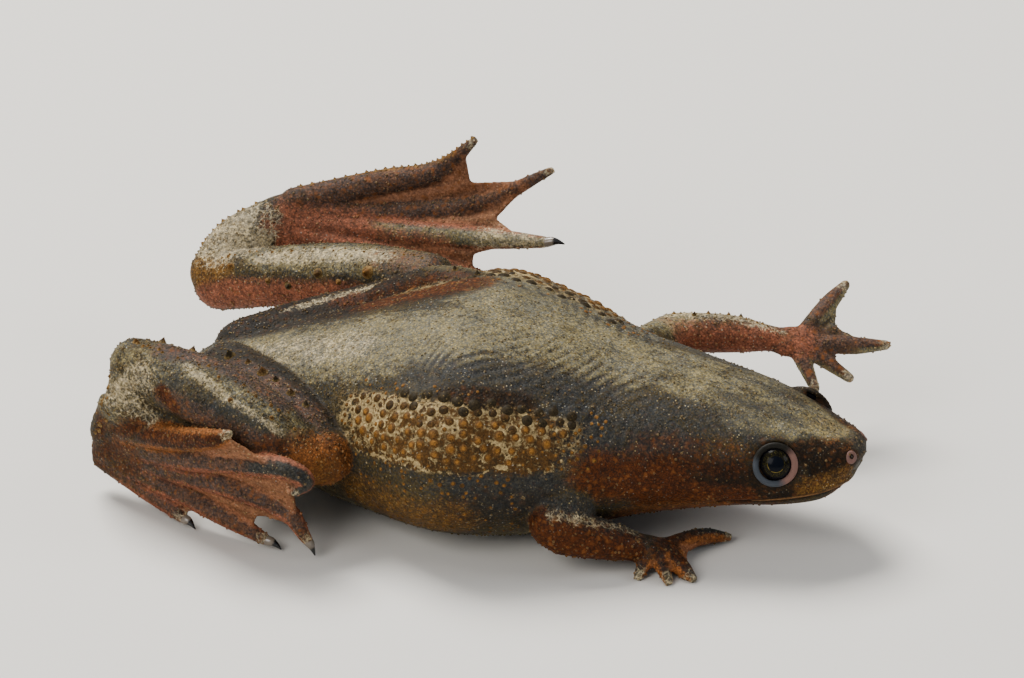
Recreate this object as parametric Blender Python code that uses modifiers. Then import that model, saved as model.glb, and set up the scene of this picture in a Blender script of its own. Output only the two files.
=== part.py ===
"""A zaire dwarf clawed frog at life size, lying on its belly with its legs folded and its far limbs raised.

The animal's own axes are used while it is modelled: x runs from the vent (0) to the snout (35),
y to its left and z up from the floor, all in millimetres. The last step moves it so that the
origin is under the middle of its box.
"""

import math
import random

import bmesh
import bpy
import numpy as np
from mathutils import Vector

MM = 0.001
GAP = 0.3
NAME = "zaire_dwarf_clawed_frog"

# Trunk and head, from rump to snout: x, half width, underside height, back height
BODY = (
    (-0.7, 0.9, 4.5, 5.8),
    (0.5, 2.2, 3.4, 6.5),
    (2.7, 3.4, 1.9, 7.2),
    (5.7, 4.9, 0.2, 8.3),
    (9.5, 7.0, -0.4, 9.6),
    (14.0, 9.4, -0.4, 10.8),
    (18.0, 8.2, -0.3, 10.3),
    (20.0, 7.3, 0.3, 9.7),
    (22.0, 6.4, 0.7, 9.1),
    (24.0, 5.7, 1.3, 8.8),
    (26.5, 4.9, 1.8, 8.4),
    (29.0, 4.4, 2.3, 7.8),
    (31.0, 3.8, 2.5, 7.15),
    (32.9, 2.85, 2.9, 6.45),
    (34.0, 1.8, 3.85, 6.15),
    (34.5, 1.1, 4.8, 5.75),
)
BODY_SIDES = 24
BODY_STEPS = 2
BODY_SQUARENESS = 2.15
NECK_X = 24.3

# Mouth: the jaw is the part of the head under a plane that rises to the snout
MOUTH_BACK_X = 28.0
MOUTH_BACK_Z = 3.55
MOUTH_RISE = 0.1
JAW_INSET = 0.12
LIP_HEIGHT = 0.26
LIP_RADIUS = 0.22
LIP_POINTS = 6

# Warts of each flank, in rows along x; a row's place round the section is in degrees above its middle.
# The trunk is turned a little, so that the left rows lie higher.
WART_X = {"left": (11.7, 20.8), "right": (10.8, 20.4)}
WARTS_A_ROW = 9
WART_ANGLES = {"left": (27.0, 40.0, 53.0), "right": (13.0, 26.0, 39.0)}
WART_RADII = (0.5, 0.2)
WART_HEIGHT = 0.25
WART_ROOT = 0.5
WART_SIDES = 5
WART_SEED = 7

# Eye and the ring of skin round it
EYE_CENTRE = (30.8, 2.98, 5.62)
EYE_RADIUS = 0.98
EYE_GAP = 0.22
EYE_OUTWARD = (0.16, 0.93, 0.33)
RIM_SEAT = 0.42
RIM_RADIUS = 1.15
RIM_THICKNESS = 0.26

# Nostrils, as raised rings with a pit
NOSTRIL = (34.3, 1.15, 5.55)
NOSTRIL_OUTWARD = (0.68, 0.49, 0.54)
NOSTRIL_RADII = (0.34, 0.26)
NOSTRIL_HEIGHT = 0.15
NOSTRIL_ROOT = 0.6
NOSTRIL_PIT = 0.13
NOSTRIL_PIT_DEPTH = 0.3

# Limb segments: x, y, z, half width, half depth at each station, from the root outwards
LIMB_SIDES = 12
LIMB_STEPS = 2
THIGH = {
    "right": ((1.5, -1.5, 5.4, 1.9, 1.9), (4.2, -4.0, 5.4, 2.3, 2.2), (6.6, -6.1, 5.1, 2.0, 2.0),
              (8.1, -7.2, 4.8, 1.5, 1.5)),
    "left": ((1.5, 1.5, 5.4, 1.8, 1.8), (4.2, 3.6, 5.7, 1.9, 1.9), (7.2, 5.4, 6.4, 1.7, 1.7),
             (9.5, 6.9, 7.3, 1.3, 1.3)),
}
SHANK = {
    "right": ((7.2, -8.0, 4.9, 1.5, 1.4), (5.0, -7.7, 6.4, 1.9, 1.7), (2.2, -6.9, 7.3, 1.95, 1.75),
              (-0.6, -6.0, 7.5, 1.6, 1.7), (-2.4, -5.3, 7.6, 1.4, 1.4)),
    "left": ((9.3, 7.9, 7.6, 1.35, 1.3), (5.0, 8.8, 6.8, 1.65, 1.55), (0.5, 9.5, 5.6, 1.6, 1.55),
             (-2.5, 10.0, 4.6, 1.45, 1.5)),
}
TARSUS = {
    "right": ((-2.3, -5.6, 7.4, 1.4, 1.3), (-1.9, -6.0, 5.5, 2.3, 1.15), (-3.1, -5.4, 3.2, 1.9, 0.95)),
    "left": ((-2.9, 10.3, 4.9, 1.35, 1.3), (-2.1, 11.4, 6.1, 1.4, 1.05), (-0.6, 12.3, 7.1, 1.3, 0.9)),
}
UPPER_ARM = {
    "right": ((21.2, -4.0, 4.6, 1.5, 1.5), (20.7, -6.0, 3.5, 1.45, 1.4), (20.3, -7.1, 2.7, 1.35, 1.3)),
    "left": ((21.5, 4.0, 5.6, 1.4, 1.4), (21.4, 6.6, 5.8, 1.25, 1.2), (21.8, 8.8, 5.7, 1.05, 1.0)),
}
FOREARM = {
    "right": ((20.8, -7.1, 2.3, 1.25, 1.2), (22.5, -6.6, 1.9, 1.15, 1.05), (24.2, -5.8, 1.3, 0.9, 0.75)),
    "left": ((22.1, 9.0, 5.75, 1.0, 1.05), (24.8, 9.6, 5.75, 0.95, 1.0), (27.0, 10.1, 5.55, 0.8, 0.65)),
}
UPRIGHT = (0.0, 0.0, 1.0)
FLAT_OF_TARSUS = {"right": (0.2, -1.0, 0.3), "left": (0.3, -0.8, 0.6)}

# Feet and hands: the palm, then each toe or finger from its root to its tip
DIGIT_SIDES = 7
DIGIT_STEPS = 2
WEB_THICKNESS = 0.5
WEB_ROWS = 6
WEB_COLUMNS = 3
# Share of the way from one digit's middle to the next at which a web's two sides are sunk in them
WEB_SIDES = (0.04, 0.95)
PALM = {
    "foot_right": ((-3.7, -5.3, 2.9, 1.25, 0.75), (-2.3, -6.0, 2.9, 1.4, 0.6), (-1.0, -6.6, 3.0, 1.4, 0.5)),
    "foot_left": ((-0.3, 12.4, 7.4, 1.2, 0.75), (1.0, 12.6, 7.6, 1.35, 0.6), (2.2, 12.6, 7.8, 1.3, 0.5)),
    "hand_right": ((24.6, -5.5, 1.15, 0.95, 0.6), (25.8, -4.95, 0.8, 1.0, 0.45)),
    "hand_left": ((27.5, 10.2, 5.4, 0.9, 0.5), (28.8, 10.7, 5.25, 1.0, 0.4)),
}
FLAT_OF_PALM = {
    "foot_right": (0.3, -0.9, 0.35),
    "foot_left": (0.2, -0.9, 0.4),
    "hand_right": (0.0, 0.0, 1.0),
    "hand_left": (0.0, -0.45, 0.9),
}
DIGITS = {
    "foot_right": (
        ((-4.2, -5.1, 1.9), (-1.3, -6.5, 1.1), (0.6, -7.7, 0.55)),
        ((-4.2, -5.2, 2.3), (0.0, -7.0, 1.8), (3.1, -8.2, 1.2), (5.3, -8.9, 0.6)),
        ((-4.1, -5.3, 2.8), (0.4, -7.4, 3.0), (4.1, -8.8, 3.2), (6.7, -9.3, 2.6), (7.7, -9.3, 1.25)),
        ((-4.0, -5.4, 3.3), (0.6, -7.7, 4.0), (4.4, -9.3, 5.0), (7.0, -10.4, 5.6), (8.2, -10.5, 5.1),
         (7.5, -10.3, 4.2)),
        ((-3.8, -5.5, 4.0), (-0.2, -7.8, 5.0), (3.0, -10.0, 6.5), (4.1, -10.4, 7.2)),
    ),
    "foot_left": (
        ((0.2, 12.1, 6.6), (3.5, 11.7, 5.9), (6.2, 11.5, 5.4)),
        ((0.4, 12.2, 7.0), (5.0, 11.7, 6.6), (9.0, 11.2, 6.5), (11.4, 10.9, 6.4)),
        ((0.6, 12.3, 7.4), (6.0, 12.3, 7.6), (11.0, 11.8, 8.2), (14.3, 11.3, 8.7)),
        ((0.7, 12.5, 7.9), (6.0, 13.1, 8.3), (10.5, 13.3, 9.4), (14.4, 13.0, 12.0)),
        ((0.6, 12.7, 8.4), (5.0, 13.5, 9.7), (8.0, 13.9, 10.6), (10.0, 14.0, 12.6)),
    ),
    "hand_right": (
        ((24.9, -5.6, 0.85), (24.7, -6.9, 0.22)),
        ((25.2, -5.4, 0.85), (26.3, -7.0, 0.22)),
        ((25.6, -5.0, 0.8), (26.7, -5.9, 0.45), (27.4, -6.4, 0.22)),
        ((25.5, -4.7, 0.9), (27.0, -3.0, 0.8), (28.0, -1.9, 0.35)),
    ),
    "hand_left": (
        ((28.4, 10.2, 5.1), (29.8, 8.4, 3.9)),
        ((28.7, 10.5, 5.1), (31.2, 10.0, 3.9)),
        ((28.8, 10.8, 5.2), (31.0, 11.5, 5.0), (32.6, 12.0, 5.0)),
        ((28.5, 11.1, 5.5), (29.3, 12.8, 6.5), (29.9, 13.9, 7.15)),
    ),
}
# The first three toes of a foot are clawed. Radius at the root and at the tip, and how late a digit thins
CLAWED = 3
DIGIT_RADII = {"clawed": (0.6, 0.36), "foot": (0.62, 0.24), "hand": (0.5, 0.28)}
DIGIT_TAPER = 2.2
DIGIT_FLATNESS = 0.9
# Fraction of the two digits that each web reaches along, and how deep its edge is cut in
WEB_REACH = {"foot": 0.86, "hand": 0.72}
WEB_NOTCH = {"foot": 0.22, "hand": 0.3}
CLAW_LENGTH = 0.85
CLAW_RADIUS = 0.27
CLAW_TIP = 0.06
CLAW_SIDES = 10
CLAW_DIP = {"right": -0.25, "left": 0.0}

# Corners of a box well past the whole animal, for the cutters
PAST_LOW = (-5.0, -12.0, -4.0)
PAST_HIGH = (40.0, 12.0, 14.0)

# Colours of the nodes
FLESH = (0.12, 0.095, 0.075)
PINK = (0.34, 0.16, 0.13)
EYE_BLACK = (0.01, 0.012, 0.02)
CLAW_BLACK = (0.015, 0.014, 0.014)


def curve_through(rows, steps):
    """Catmull-Rom curve through rows of numbers, with steps rows for each span."""
    rows = np.array(rows, float)
    if len(rows) == 2:
        return np.array([rows[0] + (rows[1] - rows[0]) * s / steps for s in range(steps + 1)])
    ends = np.vstack([2 * rows[0] - rows[1], rows, 2 * rows[-1] - rows[-2]])
    fine = []
    for i in range(len(rows) - 1):
        a, b, c, d = ends[i:i + 4]
        for s in range(steps):
            t = s / steps
            fine.append(0.5 * (2 * b + (c - a) * t + (2 * a - 5 * b + 4 * c - d) * t ** 2
                               + (3 * b - a - 3 * c + d) * t ** 3))
    fine.append(rows[-1])
    return np.array(fine)


def add_object(name, mesh, collection):
    """Shows a mesh as an object of the collection."""
    thing = bpy.data.objects.new(name, mesh)
    collection.objects.link(thing)
    return thing


def loft(name, rings, first, last, collection, floor=True):
    """Closed surface through rings of equal count, with a pole at each end and no point under the floor."""
    points = [first, *[p for ring in rings for p in ring], last]
    if floor:
        points = [(p[0], p[1], max(p[2], 0.0)) for p in points]
    count = len(rings[0])
    faces = []
    for k in range(count):
        after = (k + 1) % count
        faces.append((0, 1 + after, 1 + k))
        for r in range(len(rings) - 1):
            here = 1 + r * count
            there = here + count
            faces.append((here + k, here + after, there + after, there + k))
        tail = 1 + (len(rings) - 1) * count
        faces.append((tail + k, tail + after, len(points) - 1))
    mesh = bpy.data.meshes.new(name)
    mesh.from_pydata([[c * MM for c in p] for p in points], [], faces)
    shape = bmesh.new()
    shape.from_mesh(mesh)
    bmesh.ops.recalc_face_normals(shape, faces=shape.faces)
    bmesh.ops.triangulate(shape, faces=shape.faces)
    shape.to_mesh(mesh)
    shape.free()
    return add_object(name, mesh, collection)


def section_point(row, turn, grow=0.0):
    """Point of a body section, a softly squared oval, at an angle from the animal's left."""
    x, half_width, low, high = row
    across = math.copysign(abs(math.cos(turn)) ** (2 / BODY_SQUARENESS), math.cos(turn))
    upward = math.copysign(abs(math.sin(turn)) ** (2 / BODY_SQUARENESS), math.sin(turn))
    return Vector((x, (half_width + grow) * across, (low + high) / 2 + ((high - low) / 2 + grow) * upward))


def section_at(x):
    """The body's section at a distance along it."""
    rows = curve_through(BODY, BODY_STEPS)
    return [x] + [float(np.interp(x, rows[:, 0], rows[:, i])) for i in (1, 2, 3)]


def body_loft(name, collection, grow=0.0, floor=True):
    """Trunk and head in one piece."""
    rows = curve_through(BODY, BODY_STEPS)
    turns = [2 * math.pi * k / BODY_SIDES for k in range(BODY_SIDES)]
    rings = [[section_point(row, turn, grow) for turn in turns] for row in rows]
    rump = (rows[0][0] - 0.35 - grow, 0.0, (rows[0][2] + rows[0][3]) / 2)
    snout = (rows[-1][0] + 0.3 + grow, 0.0, (rows[-1][2] + rows[-1][3]) / 2)
    return loft(name, rings, rump, snout, collection, floor)


def limb_loft(name, stations, flat, collection, grow=0.0, sides=LIMB_SIDES, steps=LIMB_STEPS, floor=True,
              cap=(65, 33)):
    """Tapering limb with round ends, each with a ring at every angle of cap.

    flat is the direction in which the half depth is measured.
    """
    rows = curve_through(stations, steps)
    centres = rows[:, :3]
    runs = np.gradient(centres, axis=0)
    runs /= np.linalg.norm(runs, axis=1)[:, None]
    halves = rows[:, 3:] + grow
    cap_turns = [math.radians(angle) for angle in cap]
    spans = []
    for turn in cap_turns:
        reach = halves[0].mean() * math.sin(turn)
        spans.append((centres[0] - runs[0] * reach, runs[0], halves[0] * math.cos(turn)))
    spans += list(zip(centres, runs, halves))
    for turn in reversed(cap_turns):
        reach = halves[-1].mean() * math.sin(turn)
        spans.append((centres[-1] + runs[-1] * reach, runs[-1], halves[-1] * math.cos(turn)))
    rings = []
    for centre, run, half in spans:
        deep = np.array(flat, float)
        deep -= run * deep.dot(run)
        deep /= np.linalg.norm(deep)
        wide = np.cross(run, deep)
        turns = [2 * math.pi * k / sides for k in range(sides)]
        rings.append([centre + wide * half[0] * math.cos(t) + deep * half[1] * math.sin(t) for t in turns])
    first = centres[0] - runs[0] * halves[0].mean()
    last = centres[-1] + runs[-1] * halves[-1].mean()
    return loft(name, rings, first, last, collection, floor)


def digit_stations(points, radii):
    """The stations of a toe or finger, thinning towards the tip."""
    root, tip = radii
    stations = []
    for i, point in enumerate(points):
        radius = root + (tip - root) * (i / (len(points) - 1)) ** DIGIT_TAPER
        stations.append((*point, radius, radius * DIGIT_FLATNESS))
    return stations


def web(name, one, other, reach, notch, collection):
    """Skin between two digits: a sheet whose free edge is a hollow curve, thickened on both faces."""
    first = curve_through(one, 12)
    second = curve_through(other, 12)

    def place(line, share):
        spot = share * (len(line) - 1)
        low = min(int(spot), len(line) - 2)
        return line[low] + (line[low + 1] - line[low]) * (spot - low)

    points = []
    for r in range(WEB_ROWS + 1):
        for c in range(WEB_COLUMNS + 1):
            across = WEB_SIDES[0] + (WEB_SIDES[1] - WEB_SIDES[0]) * c / WEB_COLUMNS
            far = reach - notch * math.sin(math.pi * across)
            share = far * (0.06 + 0.94 * r / WEB_ROWS)
            points.append(place(first, share) * (1 - across) + place(second, share) * across)
    faces = []
    for r in range(WEB_ROWS):
        for c in range(WEB_COLUMNS):
            a = r * (WEB_COLUMNS + 1) + c
            b = a + WEB_COLUMNS + 1
            faces += [(a, a + 1, b + 1), (a, b + 1, b)]
    mesh = bpy.data.meshes.new(name)
    mesh.from_pydata([[v * MM for v in p] for p in points], [], faces)
    sheet = add_object(name, mesh, collection)
    thick = sheet.modifiers.new("thickness", "SOLIDIFY")
    thick.thickness = WEB_THICKNESS * MM
    thick.offset = 0.0
    return plain_mesh(sheet)


def plain_mesh(thing):
    """Replaces an object's mesh by what its modifiers make of it, as triangles."""
    bpy.context.view_layer.update()
    made = bpy.data.meshes.new_from_object(thing.evaluated_get(bpy.context.evaluated_depsgraph_get()))
    thing.modifiers.clear()
    thing.data = made
    return thing


def largest_surface(thing):
    """Keeps only the largest closed surface of a mesh."""
    shape = bmesh.new()
    shape.from_mesh(thing.data)
    seen = set()
    groups = []
    for start in shape.verts:
        if start.index in seen:
            continue
        seen.add(start.index)
        group = [start]
        for vert in group:
            for edge in vert.link_edges:
                other = edge.other_vert(vert)
                if other.index not in seen:
                    seen.add(other.index)
                    group.append(other)
        groups.append(group)
    groups.sort(key=len)
    for group in groups[:-1]:
        bmesh.ops.delete(shape, geom=group, context="VERTS")
    bmesh.ops.dissolve_degenerate(shape, dist=1e-6, edges=shape.edges)
    bmesh.ops.triangulate(shape, faces=shape.faces)
    shape.to_mesh(thing.data)
    shape.free()
    return thing


def cut(thing, cutters, operation="DIFFERENCE"):
    """Applies each cutter in turn and keeps the main body."""
    for cutter in cutters:
        step = thing.modifiers.new(cutter.name, "BOOLEAN")
        step.operation = operation
        step.solver = "EXACT"
        step.object = cutter
    return largest_surface(plain_mesh(thing))


def fuse(name, pieces, collection):
    """Joins closed meshes into one body, in one union, and removes the pieces."""
    group = bpy.data.collections.new(name + "_pieces")
    bpy.context.scene.collection.children.link(group)
    for piece in pieces[1:]:
        for home in list(piece.users_collection):
            home.objects.unlink(piece)
        group.objects.link(piece)
    base = pieces[0]
    union = base.modifiers.new("union", "BOOLEAN")
    union.operation = "UNION"
    union.solver = "MANIFOLD"
    union.operand_type = "COLLECTION"
    union.collection = group
    whole = add_object(name, plain_mesh(base).data, collection)
    for piece in pieces:
        bpy.data.objects.remove(piece)
    bpy.data.collections.remove(group)
    return largest_surface(whole)


def block(name, low, high, tilt, collection):
    """Box between two corners, sheared up along x by tilt."""
    shape = bmesh.new()
    bmesh.ops.create_cube(shape, size=1.0)
    for vert in shape.verts:
        for axis in range(3):
            vert.co[axis] = (low[axis] + (high[axis] - low[axis]) * (vert.co[axis] + 0.5)) * MM
        vert.co.z += (vert.co.x - low[0] * MM) * tilt
    mesh = bpy.data.meshes.new(name)
    shape.to_mesh(mesh)
    shape.free()
    return add_object(name, mesh, collection)


def ball(name, centre, radius, collection, segments=16, rings=10):
    """Sphere about a centre."""
    shape = bmesh.new()
    bmesh.ops.create_uvsphere(shape, u_segments=segments, v_segments=rings, radius=radius * MM)
    bmesh.ops.translate(shape, verts=shape.verts, vec=Vector(centre) * MM)
    bmesh.ops.triangulate(shape, faces=shape.faces)
    mesh = bpy.data.meshes.new(name)
    shape.to_mesh(mesh)
    shape.free()
    return add_object(name, mesh, collection)


def ring(name, centre, axis, radius, thickness, collection, around=16, across=6):
    """Torus about an axis."""
    bpy.ops.mesh.primitive_torus_add(major_radius=radius * MM, minor_radius=thickness * MM,
                                     major_segments=around, minor_segments=across)
    made = bpy.context.active_object
    mesh = made.data
    mesh.name = name
    bpy.data.objects.remove(made)
    turn = Vector(axis).to_track_quat("Z", "Y").to_matrix().to_4x4()
    turn.translation = Vector(centre) * MM
    mesh.transform(turn)
    return add_object(name, mesh, collection)


def spike(name, root, tip, radius, end_radius, collection, sides):
    """Cone or rod from root to tip."""
    line = Vector(tip) - Vector(root)
    shape = bmesh.new()
    bmesh.ops.create_cone(shape, cap_ends=True, segments=sides, radius1=radius * MM, radius2=end_radius * MM,
                          depth=line.length * MM)
    turn = line.to_track_quat("Z", "Y").to_matrix().to_4x4()
    turn.translation = (Vector(root) + line / 2) * MM
    bmesh.ops.transform(shape, matrix=turn, verts=shape.verts)
    bmesh.ops.triangulate(shape, faces=shape.faces)
    mesh = bpy.data.meshes.new(name)
    shape.to_mesh(mesh)
    shape.free()
    return add_object(name, mesh, collection)


def mirrored(point, side):
    """A point given for the left, on the wanted side."""
    return (point[0], point[1] if side == "left" else -point[1], point[2])


def finish(thing, colour, roughness):
    """Gives a node its own material and smooth shading."""
    material = bpy.data.materials.new(thing.name)
    material.use_nodes = True
    skin = material.node_tree.nodes["Principled BSDF"]
    skin.inputs["Base Color"].default_value = (*colour, 1.0)
    skin.inputs["Roughness"].default_value = roughness
    skin.inputs["Metallic"].default_value = 0.0
    thing.data.materials.clear()
    thing.data.materials.append(material)
    thing.data.shade_smooth()


def warts(cutters):
    """Blunt cones in rows along both flanks, their roots sunk in the skin."""
    draw = random.Random(WART_SEED)
    made = []
    for side, angles in WART_ANGLES.items():
        start, end = WART_X[side]
        pitch = (end - start) / (WARTS_A_ROW - 1)
        for r, angle in enumerate(angles):
            for k in range(WARTS_A_ROW):
                x = start + pitch * (k + (r % 2) * 0.5 - 0.25 + draw.uniform(-0.12, 0.12))
                turn = math.radians(angle + draw.uniform(-2.5, 2.5))
                if side == "right":
                    turn = math.pi - turn
                here = section_point(section_at(x), turn)
                along = section_point(section_at(x + 0.1), turn) - here
                around = section_point(section_at(x), turn + 0.02) - here
                outward = around.cross(along).normalized()
                size = draw.uniform(0.75, 1.1)
                made.append(spike(f"wart_{side}_{r}_{k}", here - outward * WART_ROOT,
                                  here + outward * WART_HEIGHT * size, WART_RADII[0] * size,
                                  WART_RADII[1] * size, cutters, WART_SIDES))
    return made


def lip(cutters):
    """Ridge of the upper lip, just above the line of the mouth, round the snout."""
    def height(x):
        return MOUTH_BACK_Z + (x - MOUTH_BACK_X) * MOUTH_RISE + LIP_HEIGHT

    def half_width(x):
        _, wide, low, high = section_at(x)
        lift = abs(height(x) - (low + high) / 2) / ((high - low) / 2)
        return wide * max(1 - lift ** BODY_SQUARENESS, 0.0) ** (1 / BODY_SQUARENESS)

    front = MOUTH_BACK_X
    while half_width(front + 0.02) > 0.0:
        front += 0.02
    edge = []
    for k in range(LIP_POINTS):
        x = MOUTH_BACK_X - GAP + (front - MOUTH_BACK_X + GAP) * math.sin(math.pi / 2 * k / LIP_POINTS)
        edge.append((x, half_width(x), height(x), LIP_RADIUS, LIP_RADIUS))
    nose = [(front - 0.1, 0.0, height(front), LIP_RADIUS, LIP_RADIUS)]
    other = [(x, -y, z, a, b) for x, y, z, a, b in reversed(edge)]
    return limb_loft("lip", edge + nose + other, UPRIGHT, cutters, sides=5, steps=1, cap=(45,))


def build_trunk(parts, cutters):
    """Torso, head and jaw, parted from one body by the neck and the line of the mouth."""
    ahead = block("ahead_of_neck", (NECK_X - GAP / 2, *PAST_LOW[1:]), PAST_HIGH, 0.0, cutters)
    behind = block("behind_neck", PAST_LOW, (NECK_X + GAP / 2, *PAST_HIGH[1:]), 0.0, cutters)
    torso = cut(fuse("torso", [body_loft("trunk", cutters), *warts(cutters)], parts), [ahead])
    under = block("mouth_gap", (MOUTH_BACK_X - GAP, *PAST_LOW[1:]), (*PAST_HIGH[:2], MOUTH_BACK_Z),
                  MOUTH_RISE, cutters)
    chin = block("chin_space", (MOUTH_BACK_X, *PAST_LOW[1:]), (*PAST_HIGH[:2], MOUTH_BACK_Z - GAP),
                 MOUTH_RISE, cutters)
    jaw = cut(body_loft("jaw", parts, grow=-JAW_INSET), [chin], "INTERSECT")
    head = cut(body_loft("head_body", parts), [behind, under])
    pieces = [head, lip(cutters)]
    sockets = []
    for side in ("left", "right"):
        centre = mirrored(EYE_CENTRE, side)
        outward = Vector(mirrored(EYE_OUTWARD, side)).normalized()
        pieces.append(ring("eye_rim_" + side, Vector(centre) + outward * RIM_SEAT, outward, RIM_RADIUS,
                           RIM_THICKNESS, cutters))
        sockets.append(ball("socket_" + side, centre, EYE_RADIUS + EYE_GAP, cutters))
        nose = Vector(mirrored(NOSTRIL, side))
        away = Vector(mirrored(NOSTRIL_OUTWARD, side)).normalized()
        pieces.append(spike("nostril_" + side, nose - away * NOSTRIL_ROOT, nose + away * NOSTRIL_HEIGHT,
                            *NOSTRIL_RADII, cutters, 12))
        sockets.append(spike("pit_" + side, nose - away * NOSTRIL_PIT_DEPTH, nose + away, NOSTRIL_PIT,
                             NOSTRIL_PIT, cutters, 10))
    head = cut(fuse("head", pieces, parts), sockets)
    for node in (torso, head, jaw):
        finish(node, FLESH, 0.5)
    for side in ("left", "right"):
        eye = ball("eye_" + side, mirrored(EYE_CENTRE, side), EYE_RADIUS, parts)
        finish(eye, EYE_BLACK, 0.08)


def build_limb(side, parts, cutters):
    """Leg and arm of one side, each segment cut clear of those it folds against."""
    tarsus_flat = FLAT_OF_TARSUS[side]
    body = body_loft("round_body_" + side, cutters, grow=GAP, floor=False)

    def around(part, stations, flat, steps=LIMB_STEPS):
        return limb_loft("round_" + part + "_" + side, stations, flat, cutters, grow=GAP, steps=steps,
                         floor=False)

    thigh = cut(limb_loft("thigh_" + side, THIGH[side], UPRIGHT, parts), [body])
    round_thigh = around("thigh", THIGH[side], UPRIGHT)
    shank = cut(limb_loft("shank_" + side, SHANK[side], UPRIGHT, parts), [body, round_thigh])
    round_shank = around("shank", SHANK[side], UPRIGHT)
    tarsus = cut(limb_loft("tarsus_" + side, TARSUS[side], tarsus_flat, parts), [round_shank])
    round_tarsus = around("tarsus", TARSUS[side], tarsus_flat)
    foot = cut(build_palm("foot", side, parts, cutters), [round_tarsus, round_shank])
    upper = cut(limb_loft("upper_arm_" + side, UPPER_ARM[side], UPRIGHT, parts), [body])
    round_upper = around("upper_arm", UPPER_ARM[side], UPRIGHT)
    forearm = cut(limb_loft("forearm_" + side, FOREARM[side], UPRIGHT, parts), [round_upper])
    round_forearm = around("forearm", FOREARM[side], UPRIGHT)
    hand = cut(build_palm("hand", side, parts, cutters), [round_forearm])
    for node in (thigh, shank, tarsus, upper, forearm):
        finish(node, FLESH if side == "right" else PINK, 0.55)
    for node in (foot, hand):
        finish(node, PINK, 0.5)


def build_palm(part, side, parts, cutters):
    """Foot or hand: palm, digits and the web between them in one body."""
    name = part + "_" + side
    flat = FLAT_OF_PALM[name]
    digits = DIGITS[name]
    pieces = [limb_loft(name + "_palm", PALM[name], flat, cutters)]
    for i, points in enumerate(digits):
        kind = "clawed" if part == "foot" and i < CLAWED else part
        stations = digit_stations(points, DIGIT_RADII[kind])
        pieces.append(limb_loft(f"{name}_digit_{i}", stations, flat, cutters, sides=DIGIT_SIDES,
                                steps=DIGIT_STEPS, cap=(48,)))
    for i, (one, other) in enumerate(zip(digits, digits[1:])):
        pieces.append(web(f"{name}_web_{i}", one, other, WEB_REACH[part], WEB_NOTCH[part], cutters))
    return fuse(name, pieces, parts)


def build_claws(side, parts):
    """Black claws at the tips of the three inner toes."""
    tip_radius = DIGIT_RADII["clawed"][1]
    for i, points in enumerate(DIGITS["foot_" + side][:CLAWED]):
        run = (Vector(points[-1]) - Vector(points[-2])).normalized()
        run = (run + Vector((0.0, 0.0, CLAW_DIP[side]))).normalized()
        root = Vector(points[-1]) + run * (tip_radius + GAP)
        tip = root + run * CLAW_LENGTH
        tip.z = max(tip.z, CLAW_TIP)
        claw = spike(f"claw_{side}_{i + 1}", root, tip, CLAW_RADIUS, CLAW_TIP, parts, CLAW_SIDES)
        finish(claw, CLAW_BLACK, 0.25)


def centre_on_floor(parts):
    """Moves every node so that the origin is under the middle of the whole box."""
    corners = [v.co for node in parts.objects for v in node.data.vertices]
    low = Vector([min(c[i] for c in corners) for i in range(3)])
    high = Vector([max(c[i] for c in corners) for i in range(3)])
    shift = Vector((-(low.x + high.x) / 2, -(low.y + high.y) / 2, -low.z))
    for node in parts.objects:
        for vert in node.data.vertices:
            vert.co += shift


for old in list(bpy.data.objects):
    bpy.data.objects.remove(old)
frog = bpy.data.collections.new(NAME)
tools = bpy.data.collections.new("cutters")
bpy.context.scene.collection.children.link(frog)
bpy.context.scene.collection.children.link(tools)
build_trunk(frog, tools)
for hand_of in ("right", "left"):
    build_limb(hand_of, frog, tools)
    build_claws(hand_of, frog)
for tool in list(tools.objects):
    bpy.data.objects.remove(tool)
bpy.data.collections.remove(tools)
centre_on_floor(frog)
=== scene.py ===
# A zaire dwarf clawed frog at life size, as a museum shows it: a painted silicone skin in one piece,
# with glass eyes and horn claws, lying on its belly with the far leg and arm raised.
import math

import bmesh
import bpy
import numpy as np
from mathutils import Matrix, Vector
from mathutils.kdtree import KDTree


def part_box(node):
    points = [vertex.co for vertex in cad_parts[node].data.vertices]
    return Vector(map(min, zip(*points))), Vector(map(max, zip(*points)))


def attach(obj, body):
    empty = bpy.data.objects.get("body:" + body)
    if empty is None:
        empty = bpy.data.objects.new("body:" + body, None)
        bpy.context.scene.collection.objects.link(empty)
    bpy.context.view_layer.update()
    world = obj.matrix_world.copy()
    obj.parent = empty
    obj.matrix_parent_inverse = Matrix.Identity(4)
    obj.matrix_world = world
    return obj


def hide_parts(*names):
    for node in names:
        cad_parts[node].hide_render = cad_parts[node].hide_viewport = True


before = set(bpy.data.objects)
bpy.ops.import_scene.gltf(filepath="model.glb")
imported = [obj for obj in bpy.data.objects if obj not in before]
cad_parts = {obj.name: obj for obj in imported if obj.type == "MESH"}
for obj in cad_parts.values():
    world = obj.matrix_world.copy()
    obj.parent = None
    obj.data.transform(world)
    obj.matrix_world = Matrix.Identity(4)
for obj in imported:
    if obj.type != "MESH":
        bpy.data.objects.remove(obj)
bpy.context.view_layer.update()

# Camera: a long lens over the frog's right side, as the photograph was taken. The animal's own axes,
# in millimetres, are x from the vent to the snout, y to its left and z up, and they are used throughout.
MM = 0.001
RUMP_X = -1.05
CAMERA_AZIMUTH = 16.0
CAMERA_ELEVATION = 28.0
CAMERA_AIM = (16.03, 0.0, 9.06)
CAMERA_DISTANCE = 1000.0
VIEW_WIDTH = 52.24
SENSOR = 36.0

trunk_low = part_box("torso")[0]
head_low, head_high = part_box("head")
own_origin = Vector((trunk_low.x - RUMP_X * MM, (head_low.y + head_high.y) / 2, 0.0))


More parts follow.
